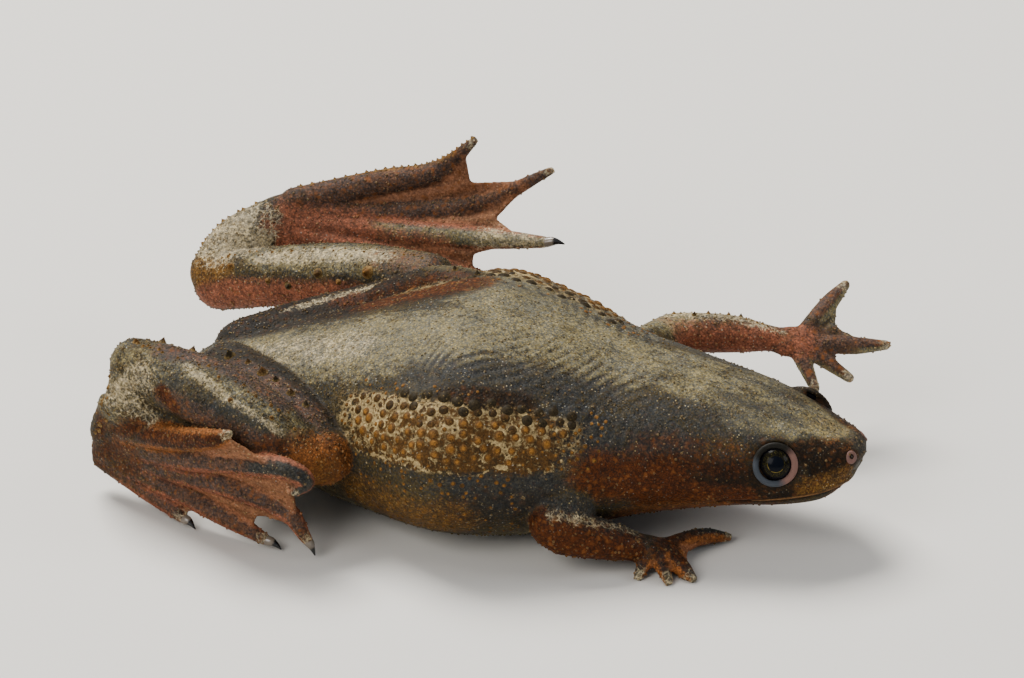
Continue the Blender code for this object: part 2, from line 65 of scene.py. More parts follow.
def at(point):
    """A place given in the animal's own axes, in the frame's metres."""
    return Vector(point) * MM + own_origin


turned, raised = math.radians(CAMERA_AZIMUTH), math.radians(CAMERA_ELEVATION)
toward_camera = Vector((math.sin(turned) * math.cos(raised), -math.cos(turned) * math.cos(raised),
                        math.sin(raised)))
camera = bpy.data.objects.new("camera", bpy.data.cameras.new("camera"))
camera.data.sensor_width = SENSOR
camera.data.lens = SENSOR * CAMERA_DISTANCE / VIEW_WIDTH
camera.location = at(CAMERA_AIM) + toward_camera * CAMERA_DISTANCE * MM
camera.rotation_euler = toward_camera.to_track_quat("Z", "Y").to_euler()
bpy.context.scene.collection.objects.link(camera)
bpy.context.scene.camera = camera

# Floor and light: a plain pale sheet, a broad soft box high behind the frog that lays a sheen along its
# back, a weaker one on the camera's side and an even, dim sky.
FLOOR_SIZE = 3.0
FLOOR_COLOUR = (0.70, 0.68, 0.64)
SKY_COLOUR = (0.9, 0.94, 1.0)
SKY_STRENGTH = 0.28
SOFT_BOXES = (  # name, direction, distance in metres, size in metres, watts, colour
    ("back_box", (-0.42, 0.34, 0.84), 0.42, 0.22, 3.6, (1.0, 0.97, 0.92)),
    ("front_box", (-0.35, -0.75, 0.6), 0.5, 0.3, 1.7, (1.0, 0.97, 0.93)),
    ("head_box", (0.85, 0.1, 0.5), 0.5, 0.2, 0.7, (0.95, 0.97, 1.0)),
)


def node(tree, kind, inputs=None, **settings):
    """Adds a shader node; an input is a value or another node's output."""
    made = tree.nodes.new(kind)
    for name, value in settings.items():
        setattr(made, name, value)
    for socket, value in (inputs or {}).items():
        if isinstance(value, bpy.types.NodeSocket):
            tree.links.new(value, made.inputs[socket])
        else:
            made.inputs[socket].default_value = value
    return made


def finish_of(name):
    """A new material and its Principled shader."""
    material = bpy.data.materials.new(name)
    material.use_nodes = True
    return material, material.node_tree, material.node_tree.nodes["Principled BSDF"]


bpy.ops.mesh.primitive_plane_add(size=FLOOR_SIZE)
floor = bpy.context.active_object
floor.name = "floor"
floor_paint, tree, shader = finish_of("floor_paint")
shader.inputs["Base Color"].default_value = (*FLOOR_COLOUR, 1.0)
shader.inputs["Roughness"].default_value = 0.85
floor.data.materials.append(floor_paint)

sky = bpy.data.worlds.new("sky")
sky.use_nodes = True
sky.node_tree.nodes["Background"].inputs["Color"].default_value = (*SKY_COLOUR, 1.0)
sky.node_tree.nodes["Background"].inputs["Strength"].default_value = SKY_STRENGTH
bpy.context.scene.world = sky

for name, direction, distance, size, watts, colour in SOFT_BOXES:
    lamp = bpy.data.lights.new(name, "AREA")
    lamp.size = size
    lamp.energy = watts
    lamp.color = colour
    box = bpy.data.objects.new(name, lamp)
    away = Vector(direction).normalized()
    box.location = away * distance
    box.rotation_euler = away.to_track_quat("Z", "Y").to_euler()
    bpy.context.scene.collection.objects.link(box)

# Trunk and head: the form under the skin, lofted through the same sections as the solids, with a
# socket cut in and a low rim raised for each eye, and a round lip along the mouth.
BODY = (  # x, half width, underside height, back height
    (-0.7, 0.9, 4.5, 5.8),
    (0.5, 2.2, 3.4, 6.5),
    (2.7, 3.4, 1.9, 7.2),
    (5.7, 4.9, 0.2, 8.3),
    (9.5, 7.0, -0.4, 9.6),
    (14.0, 9.4, -0.4, 10.8),
    (18.0, 8.2, -0.3, 10.3),
    (20.0, 7.3, 0.3, 9.7),
    (22.0, 6.4, 0.7, 9.1),
    (24.0, 5.7, 1.3, 8.8),
    (26.5, 4.9, 1.8, 8.4),
    (29.0, 4.4, 2.3, 7.8),
    (31.0, 3.8, 2.5, 7.15),
    (32.9, 2.85, 2.9, 6.45),
    (34.0, 1.8, 3.85, 6.15),
    (34.5, 1.1, 4.8, 5.75),
)
BODY_SIDES = 96
BODY_STEPS = 8
BODY_SQUARENESS = 2.15
RUMP_POLE = 0.35
SNOUT_POLE = 0.3
EYE_CENTRE = (30.8, 2.98, 5.62)
EYE_RADIUS = 0.98
EYE_OUTWARD = (0.16, 0.93, 0.33)
SOCKET_RADIUS = 1.0
RIM_SEAT = 0.3
RIM_RADIUS = 1.22
RIM_THICKNESS = 0.14
MOUTH_BACK_X = 27.8
MOUTH_BACK_Z = 3.4
MOUTH_RISE = 0.1
LIP_HEIGHT = 0.3
LIP_RADIUS = 0.2
LIP_POINTS = 10
LIP_INSET = 0.06
LIP_SEARCH = 0.02

flesh = []


def curve_through(rows, steps):
    """Catmull-Rom curve through rows of numbers, with steps rows for each span."""
    rows = np.array(rows, float)
    ends = np.vstack([2 * rows[0] - rows[1], rows, 2 * rows[-1] - rows[-2]])
    fine = []
    for i in range(len(rows) - 1):
        a, b, c, d = ends[i:i + 4]
        for s in range(steps):
            t = s / steps
            fine.append(0.5 * (2 * b + (c - a) * t + (2 * a - 5 * b + 4 * c - d) * t ** 2
                               + (3 * b - a - 3 * c + d) * t ** 3))
    fine.append(rows[-1])
    return np.array(fine)


body_rows = curve_through(BODY, BODY_STEPS)


def body_section(x):
    """Half width, middle height and half height of the body at a distance along it."""
    wide, low, high = (np.interp(x, body_rows[:, 0], body_rows[:, i]) for i in (1, 2, 3))
    return wide, (low + high) / 2, (high - low) / 2


def body_point(x, turn, grow=0.0):
    """A place on the body's surface, turn being the angle round the section from the animal's left."""
    wide, middle, half = body_section(x)
    across = np.sign(np.cos(turn)) * np.abs(np.cos(turn)) ** (2 / BODY_SQUARENESS)
    upward = np.sign(np.sin(turn)) * np.abs(np.sin(turn)) ** (2 / BODY_SQUARENESS)
    return np.array((x, (wide + grow) * across, middle + (half + grow) * upward))


def faced_mesh(name, points, faces):
    """A mesh of the given faces, all turned outwards."""
    mesh = bpy.data.meshes.new(name)
    mesh.from_pydata(points, [], faces)
    shape = bmesh.new()
    shape.from_mesh(mesh)
    bmesh.ops.recalc_face_normals(shape, faces=shape.faces)
    shape.to_mesh(mesh)
    shape.free()
    return mesh


def closed_mesh(name, rings, first, last):
    """A scratch object: a closed surface through rings of equal count, with a pole at each end."""
    count = len(rings[0])
    points = [first, *[p for ring in rings for p in ring], last]
    faces = []
    for k in range(count):
        after = (k + 1) % count
        faces.append((0, 1 + after, 1 + k))
        for r in range(len(rings) - 1):
            here = 1 + r * count
            faces.append((here + k, here + after, here + count + after, here + count + k))
        tail = 1 + (len(rings) - 1) * count
        faces.append((tail + k, tail + after, len(points) - 1))
    return scratch(faced_mesh(name, points, faces))


def scratch(mesh):
    """Shows a mesh as a scratch object."""
    thing = bpy.data.objects.new(mesh.name, mesh)
    bpy.context.scene.collection.objects.link(thing)
    return thing


def body_form(name, grow=0.0):
    """The trunk and head as one closed form."""
    turns = np.linspace(0, 2 * np.pi, BODY_SIDES, endpoint=False)
    rings = [[body_point(row[0], turn, grow) for turn in turns] for row in body_rows]
    rump = (body_rows[0][0] - RUMP_POLE - grow, 0.0, body_section(body_rows[0][0])[1])
    snout = (body_rows[-1][0] + SNOUT_POLE + grow, 0.0, body_section(body_rows[-1][0])[1])
    return closed_mesh(name, rings, rump, snout)


def ball(name, centre, radius, segments=48):
    """A sphere about a centre, as a scratch object."""
    shape = bmesh.new()
    bmesh.ops.create_uvsphere(shape, u_segments=segments, v_segments=segments // 2, radius=radius)
    bmesh.ops.translate(shape, verts=shape.verts, vec=centre)
    mesh = bpy.data.meshes.new(name)
    shape.to_mesh(mesh)
    shape.free()
    return scratch(mesh)


def plain_copy(thing, name):
    """The mesh that an object's modifiers make."""
    bpy.context.view_layer.update()
    made = bpy.data.meshes.new_from_object(thing.evaluated_get(bpy.context.evaluated_depsgraph_get()))
    made.name = name
    return made


def carve(thing, cutters):
    """Cuts each cutter out of a scratch object and removes it."""
    for cutter in cutters:
        step = thing.modifiers.new(cutter.name, "BOOLEAN")
        step.operation = "DIFFERENCE"
        step.object = cutter
    made = plain_copy(thing, thing.name)
    thing.modifiers.clear()
    thing.data = made
    for cutter in cutters:
        bpy.data.objects.remove(cutter)
    return thing


def on_side(point, side):
    """A place given for the left, on the wanted side."""
    return Vector((point[0], point[1] if side == "left" else -point[1], point[2]))


def round_form(name, stations, flat, sides=40, steps=8, cap=(78, 64, 50, 36, 20)):
    """A tapering form with round ends and its axis; flat is the direction that half depth is measured in."""
    rows = curve_through(stations, steps)
    centres = rows[:, :3]
    runs = np.gradient(centres, axis=0)
    runs /= np.linalg.norm(runs, axis=1)[:, None]
    deep = np.array(flat, float) - runs * (runs @ np.array(flat, float))[:, None]
    deep /= np.linalg.norm(deep, axis=1)[:, None]
    wide = np.cross(runs, deep)
    halves = rows[:, 3:]
    turns = np.linspace(0, 2 * np.pi, sides, endpoint=False)[:, None]

    def ring(i, reach, share):
        return (centres[i] + runs[i] * reach + wide[i] * halves[i][0] * share * np.cos(turns)
                + deep[i] * halves[i][1] * share * np.sin(turns))

    def end_rings(i, way):
        size = way * halves[i].mean()
        return [ring(i, size * math.sin(math.radians(a)), math.cos(math.radians(a))) for a in cap]

    rings = end_rings(0, -1) + [ring(i, 0.0, 1.0) for i in range(len(rows))] + end_rings(-1, 1)[::-1]
    first = centres[0] - runs[0] * halves[0].mean()
    last = centres[-1] + runs[-1] * halves[-1].mean()
    return closed_mesh(name, rings, first, last), (centres, runs, wide, deep, halves)


def tube(name, stations, flat, **shape):
    """A round form that goes under the skin; gives back its axis."""
    made, axis = round_form(name, stations, flat, **shape)
    flesh.append(made)
    return axis


def mouth_height(x):
    """Height of the line of the mouth."""
    return MOUTH_BACK_Z + (x - MOUTH_BACK_X) * MOUTH_RISE


trunk = body_form("trunk")
sockets = [ball("socket", on_side(EYE_CENTRE, side), SOCKET_RADIUS) for side in ("left", "right")]
flesh.append(carve(trunk, sockets))

for side in ("left", "right"):
    bpy.ops.mesh.primitive_torus_add(major_radius=RIM_RADIUS, minor_radius=RIM_THICKNESS, major_segments=48,
                                     minor_segments=16)
    rim = bpy.context.active_object
    outward = on_side(EYE_OUTWARD, side).normalized()
    seat = outward.to_track_quat("Z", "Y").to_matrix().to_4x4()
    seat.translation = on_side(EYE_CENTRE, side) + outward * RIM_SEAT
    rim.data.transform(seat)
    flesh.append(rim)


def lip_half_width(x):
    """Half width of the head at the height of the lip."""
    wide, middle, half = body_section(x)
    lift = abs(mouth_height(x) + LIP_HEIGHT - middle) / half
    return wide * max(1 - lift ** BODY_SQUARENESS, 0.0) ** (1 / BODY_SQUARENESS)


lip_front = max(x for x in np.arange(MOUTH_BACK_X, body_rows[-1][0], LIP_SEARCH) if lip_half_width(x) > 0.0)
right_lip = []
for k in range(LIP_POINTS):
    x = MOUTH_BACK_X + (lip_front - MOUTH_BACK_X) * math.sin(math.pi / 2 * k / LIP_POINTS)
    size = LIP_RADIUS * (0.4 + 0.6 * k / LIP_POINTS)
    right_lip.append((x, -lip_half_width(x) + LIP_INSET, mouth_height(x) + LIP_HEIGHT, size, size))
nose_lip = (lip_front - 0.1, 0.0, mouth_height(lip_front) + LIP_HEIGHT, LIP_RADIUS, LIP_RADIUS)
left_lip = [(x, -y, z, a, b) for x, y, z, a, b in reversed(right_lip)]
tube("lip", [*right_lip, nose_lip, *left_lip], (0.0, 0.0, 1.0), sides=12, steps=4)

# Legs and arms: thigh, shank and ankle, upper arm and forearm of each side, folded as in the
# photograph, each a full round form that the skin later joins to the next.
LIMBS = {  # stations of x, y, z, half width, half depth, from the root outwards
    "thigh_right": ((1.5, -1.5, 5.4, 1.9, 1.9), (4.2, -4.0, 5.4, 2.3, 2.2), (6.6, -6.1, 5.1, 2.0, 2.0),
                    (8.1, -7.2, 4.8, 1.5, 1.5)),
    "thigh_left": ((1.5, 1.5, 5.4, 1.8, 1.8), (4.2, 3.6, 5.7, 1.9, 1.9), (7.2, 5.4, 6.4, 1.7, 1.7),
                   (9.5, 6.9, 7.3, 1.3, 1.3)),
    "shank_right": ((7.2, -8.0, 4.9, 1.5, 1.4), (5.0, -7.7, 6.4, 1.9, 1.7), (2.2, -6.9, 7.3, 1.95, 1.75),
                    (-0.6, -6.0, 7.5, 1.6, 1.7), (-2.4, -5.3, 7.6, 1.4, 1.4)),
    "shank_left": ((9.3, 7.9, 7.6, 1.35, 1.3), (5.0, 8.8, 6.8, 1.65, 1.55), (0.5, 9.5, 5.6, 1.6, 1.55),
                   (-2.5, 10.0, 4.6, 1.45, 1.5)),
    "tarsus_right": ((-2.3, -5.6, 7.4, 1.4, 1.3), (-1.9, -6.0, 5.5, 2.3, 1.15), (-3.1, -5.4, 3.2, 1.9, 0.95)),
    "tarsus_left": ((-2.9, 10.3, 4.9, 1.35, 1.3), (-2.1, 11.4, 6.1, 1.4, 1.05), (-0.6, 12.3, 7.1, 1.3, 0.9)),
    "upper_arm_right": ((21.2, -4.0, 4.6, 1.5, 1.5), (20.7, -6.0, 3.5, 1.45, 1.4),
                        (20.3, -7.1, 2.7, 1.35, 1.3)),
    "upper_arm_left": ((21.5, 4.0, 5.6, 1.4, 1.4), (21.4, 6.6, 5.8, 1.25, 1.2), (21.8, 8.8, 5.7, 1.05, 1.0)),
    "forearm_right": ((20.8, -7.1, 2.3, 1.25, 1.2), (22.5, -6.6, 1.9, 1.15, 1.05),
                      (24.2, -5.8, 1.3, 0.9, 0.75)),
    "forearm_left": ((22.1, 9.0, 5.75, 1.0, 1.05), (24.8, 9.6, 5.75, 0.95, 1.0), (27.0, 10.1, 5.55, 0.8, 0.65)),
}
FLAT_OF_TARSUS = {"tarsus_right": (0.2, -1.0, 0.3), "tarsus_left": (0.3, -0.8, 0.6)}
HEEL_FOLD = ((-1.2, -6.5, 5.4, 0.9, 0.9), (0.8, -7.1, 5.6, 0.8, 0.8), (2.6, -7.9, 6.0, 0.6, 0.7))
GROIN_FOLD = ((7.5, 5.0, 7.4, 0.9, 0.9), (9.4, 5.2, 8.3, 1.05, 1.0), (11.0, 4.9, 8.9, 1.1, 1.05),
              (12.8, 4.3, 9.2, 1.1, 1.0), (15.2, 3.2, 9.4, 0.8, 0.7))
axes = {}
for name, stations in LIMBS.items():
    axes[name] = tube(name, stations, FLAT_OF_TARSUS.get(name, (0.0, 0.0, 1.0)))
tube("heel_fold", HEEL_FOLD, (0.0, 0.0, 1.0))
axes["thigh_left_fold"] = tube("thigh_left_fold", GROIN_FOLD, (0.0, 0.0, 1.0))

# Feet and hands: a palm, toes or fingers that taper to soft points, and the thin web between them,
# pleated from root to edge.
PALMS = {
    "foot_right": ((-3.7, -5.3, 2.9, 1.25, 0.75), (-2.3, -6.0, 2.9, 1.4, 0.6), (-1.0, -6.6, 3.0, 1.4, 0.5)),
    "foot_left": ((-0.3, 12.4, 7.4, 1.2, 0.75), (1.0, 12.6, 7.6, 1.35, 0.6), (2.2, 12.6, 7.8, 1.3, 0.5)),
    "hand_right": ((24.6, -5.5, 1.15, 0.95, 0.6), (25.8, -4.95, 0.8, 1.0, 0.45)),
    "hand_left": ((27.5, 10.2, 5.4, 0.9, 0.5), (28.8, 10.7, 5.25, 1.0, 0.4)),
}
FLAT_OF_PALM = {
    "foot_right": (0.3, -0.9, 0.35),
    "foot_left": (0.2, -0.9, 0.4),
    "hand_right": (0.0, 0.0, 1.0),
    "hand_left": (0.0, -0.45, 0.9),
}
DIGITS = {
    "foot_right": (
        ((-4.2, -5.1, 1.9), (-1.3, -6.5, 1.1), (0.6, -7.7, 0.55)),
        ((-4.2, -5.2, 2.3), (0.0, -7.0, 1.8), (3.1, -8.2, 1.2), (5.3, -8.9, 0.6)),
        ((-4.1, -5.3, 2.8), (0.4, -7.4, 3.0), (4.1, -8.8, 3.2), (6.7, -9.3, 2.6), (7.7, -9.3, 1.25)),
        ((-4.0, -5.4, 3.3), (0.6, -7.7, 4.0), (4.4, -9.3, 5.0), (7.0, -10.4, 5.6), (8.2, -10.5, 5.1),
         (7.5, -10.3, 4.2)),
        ((-3.8, -5.5, 4.0), (-0.2, -7.8, 5.0), (3.0, -10.0, 6.5), (4.1, -10.4, 7.2)),
    ),
    "foot_left": (
        ((0.2, 12.1, 6.6), (3.5, 11.7, 5.9), (6.2, 11.5, 5.4)),
        ((0.4, 12.2, 7.0), (5.0, 11.7, 6.6), (9.0, 11.2, 6.5), (11.4, 10.9, 6.4)),
        ((0.6, 12.3, 7.4), (6.0, 12.3, 7.6), (11.0, 11.8, 8.2), (14.3, 11.3, 8.7)),
        ((0.7, 12.5, 7.9), (6.0, 13.1, 8.3), (10.5, 13.3, 9.4), (14.4, 13.0, 12.0)),
        ((0.6, 12.7, 8.4), (5.0, 13.5, 9.7), (8.0, 13.9, 10.6), (10.0, 14.0, 12.6)),
    ),
    "hand_right": (
        ((24.9, -5.6, 0.85), (24.7, -6.9, 0.22)),
        ((25.2, -5.4, 0.85), (26.3, -7.0, 0.22)),
        ((25.6, -5.0, 0.8), (26.7, -5.9, 0.45), (27.4, -6.4, 0.22)),
        ((25.5, -4.7, 0.9), (27.0, -3.0, 0.8), (28.0, -1.9, 0.35)),
    ),
    "hand_left": (
        ((28.4, 10.2, 5.1), (29.8, 8.4, 3.9)),
        ((28.7, 10.5, 5.1), (31.2, 10.0, 3.9)),
        ((28.8, 10.8, 5.2), (31.0, 11.5, 5.0), (32.6, 12.0, 5.0)),
        ((28.5, 11.1, 5.5), (29.3, 12.8, 6.5), (29.9, 13.9, 7.15)),
    ),
}
CLAWED = 3
DIGIT_RADII = {"clawed": (0.7, 0.34), "foot": (0.7, 0.22), "hand": (0.52, 0.27)}
DIGIT_TAPER = 2.8
CUFF_LENGTH = 0.25
CUFF_RADIUS = 0.3
DIGIT_FLATNESS = 0.9
WEB_REACH = {"foot": 0.9, "hand": 0.72}
WEB_NOTCH = {"foot": 0.16, "hand": 0.3}
WEB_THICKNESS = 0.34
WEB_ROWS = 60
WEB_COLUMNS = 20
WEB_PLEATS = 2.5
PLEAT_HEIGHT = 0.09


def web(name, one, other, reach, notch):
    """The skin between two digits: a thin pleated sheet whose free edge is a hollow curve."""
    first, second = curve_through(one, 40), curve_through(other, 40)
    across = np.linspace(0.0, 1.0, WEB_COLUMNS + 1)
    share = np.linspace(0.05, 1.0, WEB_ROWS + 1)[:, None] * (reach - notch * np.sin(np.pi * across))

    def along(line, shares):
        spots = np.linspace(0, 1, len(line))
        return np.stack([np.interp(shares, spots, line[:, i]) for i in range(3)], -1)

    sheet = along(first, share) * (1 - across)[:, None] + along(second, share) * across[:, None]
    normal = np.cross(np.gradient(sheet, axis=0), np.gradient(sheet, axis=1))
    normal /= np.linalg.norm(normal, axis=2)[:, :, None]
    pleat = PLEAT_HEIGHT * np.sin(2 * np.pi * WEB_PLEATS * across) * np.sin(np.pi * across)
    sheet = sheet + normal * pleat[:, None]
    rings = []
    for r in range(WEB_ROWS + 1):
        lift = normal[r] * WEB_THICKNESS / 2
        rings.append([*(sheet[r] + lift), *(sheet[r] - lift)[::-1]])
    flesh.append(closed_mesh(name, rings, sheet[0].mean(0), sheet[-1][WEB_COLUMNS // 2]))
    return sheet.reshape(-1, 3)


web_points = []
for name, digits in DIGITS.items():
    part = name.split("_")[0]
    axes[name] = tube(name + "_palm", PALMS[name], FLAT_OF_PALM[name])
    for i, points in enumerate(digits):
        clawed = part == "foot" and i < CLAWED
        root, tip = DIGIT_RADII["clawed" if clawed else part]
        radii = root + (tip - root) * np.linspace(0, 1, len(points)) ** DIGIT_TAPER
        stations = [(*point, radius, DIGIT_FLATNESS * radius) for point, radius in zip(points, radii)]
        if clawed:
            cuff = Vector(points[-1]) + (Vector(points[-1]) - Vector(points[-2])).normalized() * CUFF_LENGTH
            stations.append((*cuff, CUFF_RADIUS, CUFF_RADIUS))
        axes[f"{name}_digit_{i}"] = tube(f"{name}_digit_{i}", stations, FLAT_OF_PALM[name], sides=24)
    for i, (one, other) in enumerate(zip(digits, digits[1:])):
        web_points.append(web(f"{name}_web_{i}", one, other, WEB_REACH[part], WEB_NOTCH[part]))
web_points = np.concatenate(web_points)

# Warts: rows of round horny warts along each flank with smaller ones between, pointed tubercles on the
# legs and arms and fine teeth along the edges of the far limbs, cast apart and set into the skin.
WART_ROWS = (  # height round the side in degrees, first x, last x, number, radius, tone from dark to amber
    (41.0, 12.2, 20.6, 12, 0.38, 0.0),
    (36.0, 10.0, 20.9, 15, 0.33, 0.25),
    (30.5, 9.6, 20.4, 15, 0.32, 0.55),
    (25.0, 9.8, 19.8, 14, 0.33, 0.75),
    (19.5, 10.2, 19.0, 13, 0.31, 0.85),
    (14.0, 10.8, 18.0, 11, 0.26, 0.95),
)
ROW_JITTER = 1.6
LEFT_RISE = 26.0
SMALL_WARTS = (  # number, and the reaches in x and in degrees over which they lie
    (260, ((8.8, 22.4), (9.0, 47.0))),
    (120, ((9.0, 18.6), (-38.0, 6.0))),
)
SMALL_RADII = (0.1, 0.17)
WART_SPACING = 0.9
TUBERCLES = (  # form, place, radius, tone
    ("thigh_right", (1.6, -2.5, 7.5), 0.46, 0.05),
    ("thigh_right", (2.8, -3.2, 7.6), 0.26, 0.4),
    ("thigh_right", (4.0, -4.3, 7.6), 0.44, 0.5),
    ("thigh_right", (5.0, -4.9, 7.4), 0.28, 0.2),
    ("thigh_right", (5.9, -5.6, 7.3), 0.34, 0.3),
    ("thigh_right", (6.9, -6.2, 7.0), 0.3, 0.2),
    ("shank_right", (0.6, -5.5, 9.0), 0.3, 0.4),
    ("shank_right", (-1.0, -5.2, 8.9), 0.34, 0.5),
    ("shank_right", (-2.4, -5.4, 8.8), 0.24, 0.6),
    ("shank_right", (3.6, -8.6, 8.1), 0.2, 0.6),
    ("shank_right", (5.6, -8.6, 7.4), 0.2, 0.5),
    ("shank_left", (3.2, 7.6, 7.1), 0.4, 0.35),
    ("shank_left", (6.0, 7.2, 7.8), 0.48, 0.8),
    ("shank_left", (1.6, 7.7, 6.1), 0.3, 0.3),
    ("shank_left", (0.4, 7.9, 6.1), 0.24, 0.8),
    ("shank_left", (4.5, 7.2, 7.0), 0.24, 0.9),
    ("shank_left", (-1.9, 8.6, 6.4), 0.34, 1.0),
    ("thigh_left_fold", (11.6, 4.6, 10.4), 0.26, 0.2),
    ("thigh_left_fold", (13.0, 4.2, 10.5), 0.3, 0.2),
    ("thigh_left_fold", (14.2, 3.9, 10.5), 0.32, 0.3),
    ("forearm_left", (23.0, 9.2, 6.8), 0.2, 0.4),
    ("forearm_left", (23.9, 9.6, 6.6), 0.18, 0.6),
    ("forearm_left", (24.7, 9.9, 6.5), 0.17, 0.5),
    ("forearm_left", (25.5, 10.1, 6.4), 0.2, 0.3),
)
TEETH = (  # form, side it stands on, number, radius
    ("foot_left_digit_4", (-0.2, 0.3, 1.0), 56, 0.14),
    ("tarsus_left", (-0.7, 0.2, 0.7), 18, 0.17),
    ("shank_left", (0.0, -0.2, 1.0), 22, 0.12),
    ("shank_right", (-0.2, -0.1, 1.0), 22, 0.14),
    ("tarsus_right", (-1.0, -0.4, 0.1), 16, 0.15),
    ("forearm_left", (0.0, 0.2, 1.0), 16, 0.1),
)
WART_DEPTH = 0.35
WART_SEED = 5

chance = np.random.default_rng(WART_SEED)
warts = []
tubercles = []


def body_facing(x, turn):
    """The direction that the body's surface faces."""
    step = 0.01
    along = body_point(x + step, turn) - body_point(x - step, turn)
    around = body_point(x, turn + step) - body_point(x, turn - step)
    facing = np.cross(around, along)
    facing /= np.linalg.norm(facing)
    return facing if facing @ (body_point(x, turn) - np.array((x, 0.0, body_section(x)[1]))) > 0 else -facing


def add_wart(x, degrees, radius, tone, side):
    """A round wart at a height round one side."""
    degrees = degrees + (LEFT_RISE if side == "left" else 0.0)
    turn = math.radians(degrees if side == "left" else 180.0 - degrees)
    warts.append((body_point(x, turn), body_facing(x, turn), (radius, radius, 0.7 * radius), tone))


def on_form(name, place):
    """The nearest spot on a limb to a place, and the direction it faces there."""
    centres, runs, wide, deep, halves = axes[name]
    place = np.array(place)
    i = int(np.argmin(np.linalg.norm(centres - place, axis=1)))
    away = place - centres[i]
    away -= runs[i] * (away @ runs[i])
    reach = np.hypot(away @ wide[i] / halves[i][0], away @ deep[i] / halves[i][1])
    return centres[i] + away / reach, away / np.linalg.norm(away)


for side in ("right", "left"):
    for degrees, first, last, number, radius, tone in WART_ROWS:
        for x in np.linspace(first, last, number):
            add_wart(x + chance.uniform(-0.16, 0.16), degrees + chance.uniform(-ROW_JITTER, ROW_JITTER),
                     radius * chance.uniform(0.75, 1.1), np.clip(tone + chance.uniform(-0.2, 0.2), 0, 1), side)
    rise = LEFT_RISE if side == "left" else 0.0
    for number, reaches in SMALL_WARTS:
        for k in range(number):
            x, degrees = (chance.uniform(*reach) for reach in reaches)
            turn = math.radians(degrees + rise if side == "left" else 180.0 - degrees)
            radius, place = chance.uniform(*SMALL_RADII), body_point(x, turn)
            if all(np.linalg.norm(place - other[0]) > WART_SPACING * (radius + other[2][0]) for other in warts):
                add_wart(x, degrees, radius, chance.uniform(0.5, 1.0), side)
for name, place, radius, tone in TUBERCLES:
    spot, facing = on_form(name, place)
    tubercles.append((spot, facing, (radius, radius, 1.4 * radius), tone))
for name, upward, number, radius in TEETH:
    centres = axes[name][0]
    for k in range(number):
        i = (k + chance.uniform(0.2, 0.8)) / number * (len(centres) - 1)
        base = centres[int(i)] + (centres[min(int(i) + 1, len(centres) - 1)] - centres[int(i)]) * (i % 1)
        spot, facing = on_form(name, base + np.array(upward) + chance.uniform(-0.15, 0.15, 3))
        size = radius * chance.uniform(0.6, 1.2)
        tubercles.append((spot, facing, (size, size, 1.1 * size), chance.uniform(0.6, 1.0)))


def settle(thing, slot, *nodes):
    """Puts a finished piece, made in millimetres, at its place in the frame."""
    thing.data.transform(Matrix.Translation(own_origin) @ Matrix.Scale(MM, 4))
    thing.data.shade_smooth()
    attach(thing, "root")
    if nodes:
        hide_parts(*nodes)


def calc(tree, operation, *values, **settings):
    """A sum on values or outputs."""
    return node(tree, "ShaderNodeMath", dict(enumerate(values)), operation=operation, **settings).outputs[0]


def between(tree, value, low, high):
    """0 where a value is under low, 1 over high, and a soft step between."""
    return node(tree, "ShaderNodeMapRange", {"Value": value, "From Min": low, "From Max": high},
                interpolation_type="SMOOTHSTEP").outputs["Result"]


def over(tree, share, below, above, blend_type="MIX"):
    """A colour laid over another."""
    sockets = {"Factor": share, "A": below, "B": above}
    made = tree.nodes.new("ShaderNodeMix")
    made.data_type = "RGBA"
    made.blend_type = blend_type
    for socket in made.inputs:
        value = sockets.get(socket.name)
        if value is None or not socket.enabled:
            continue
        if isinstance(value, bpy.types.NodeSocket):
            tree.links.new(value, socket)
        else:
            socket.default_value = value if isinstance(value, float) else (*value, 1.0)
    return next(socket for socket in made.outputs if socket.enabled)


def put_mark(mesh, name, values):
    """Paints a value on each of a mesh's points."""
    mesh.attributes.new(name, "FLOAT", "POINT").data.foreach_set("value", values)


def mark(tree, name):
    """A value painted on a piece's points."""
    return node(tree, "ShaderNodeAttribute", attribute_name=name).outputs["Fac"]


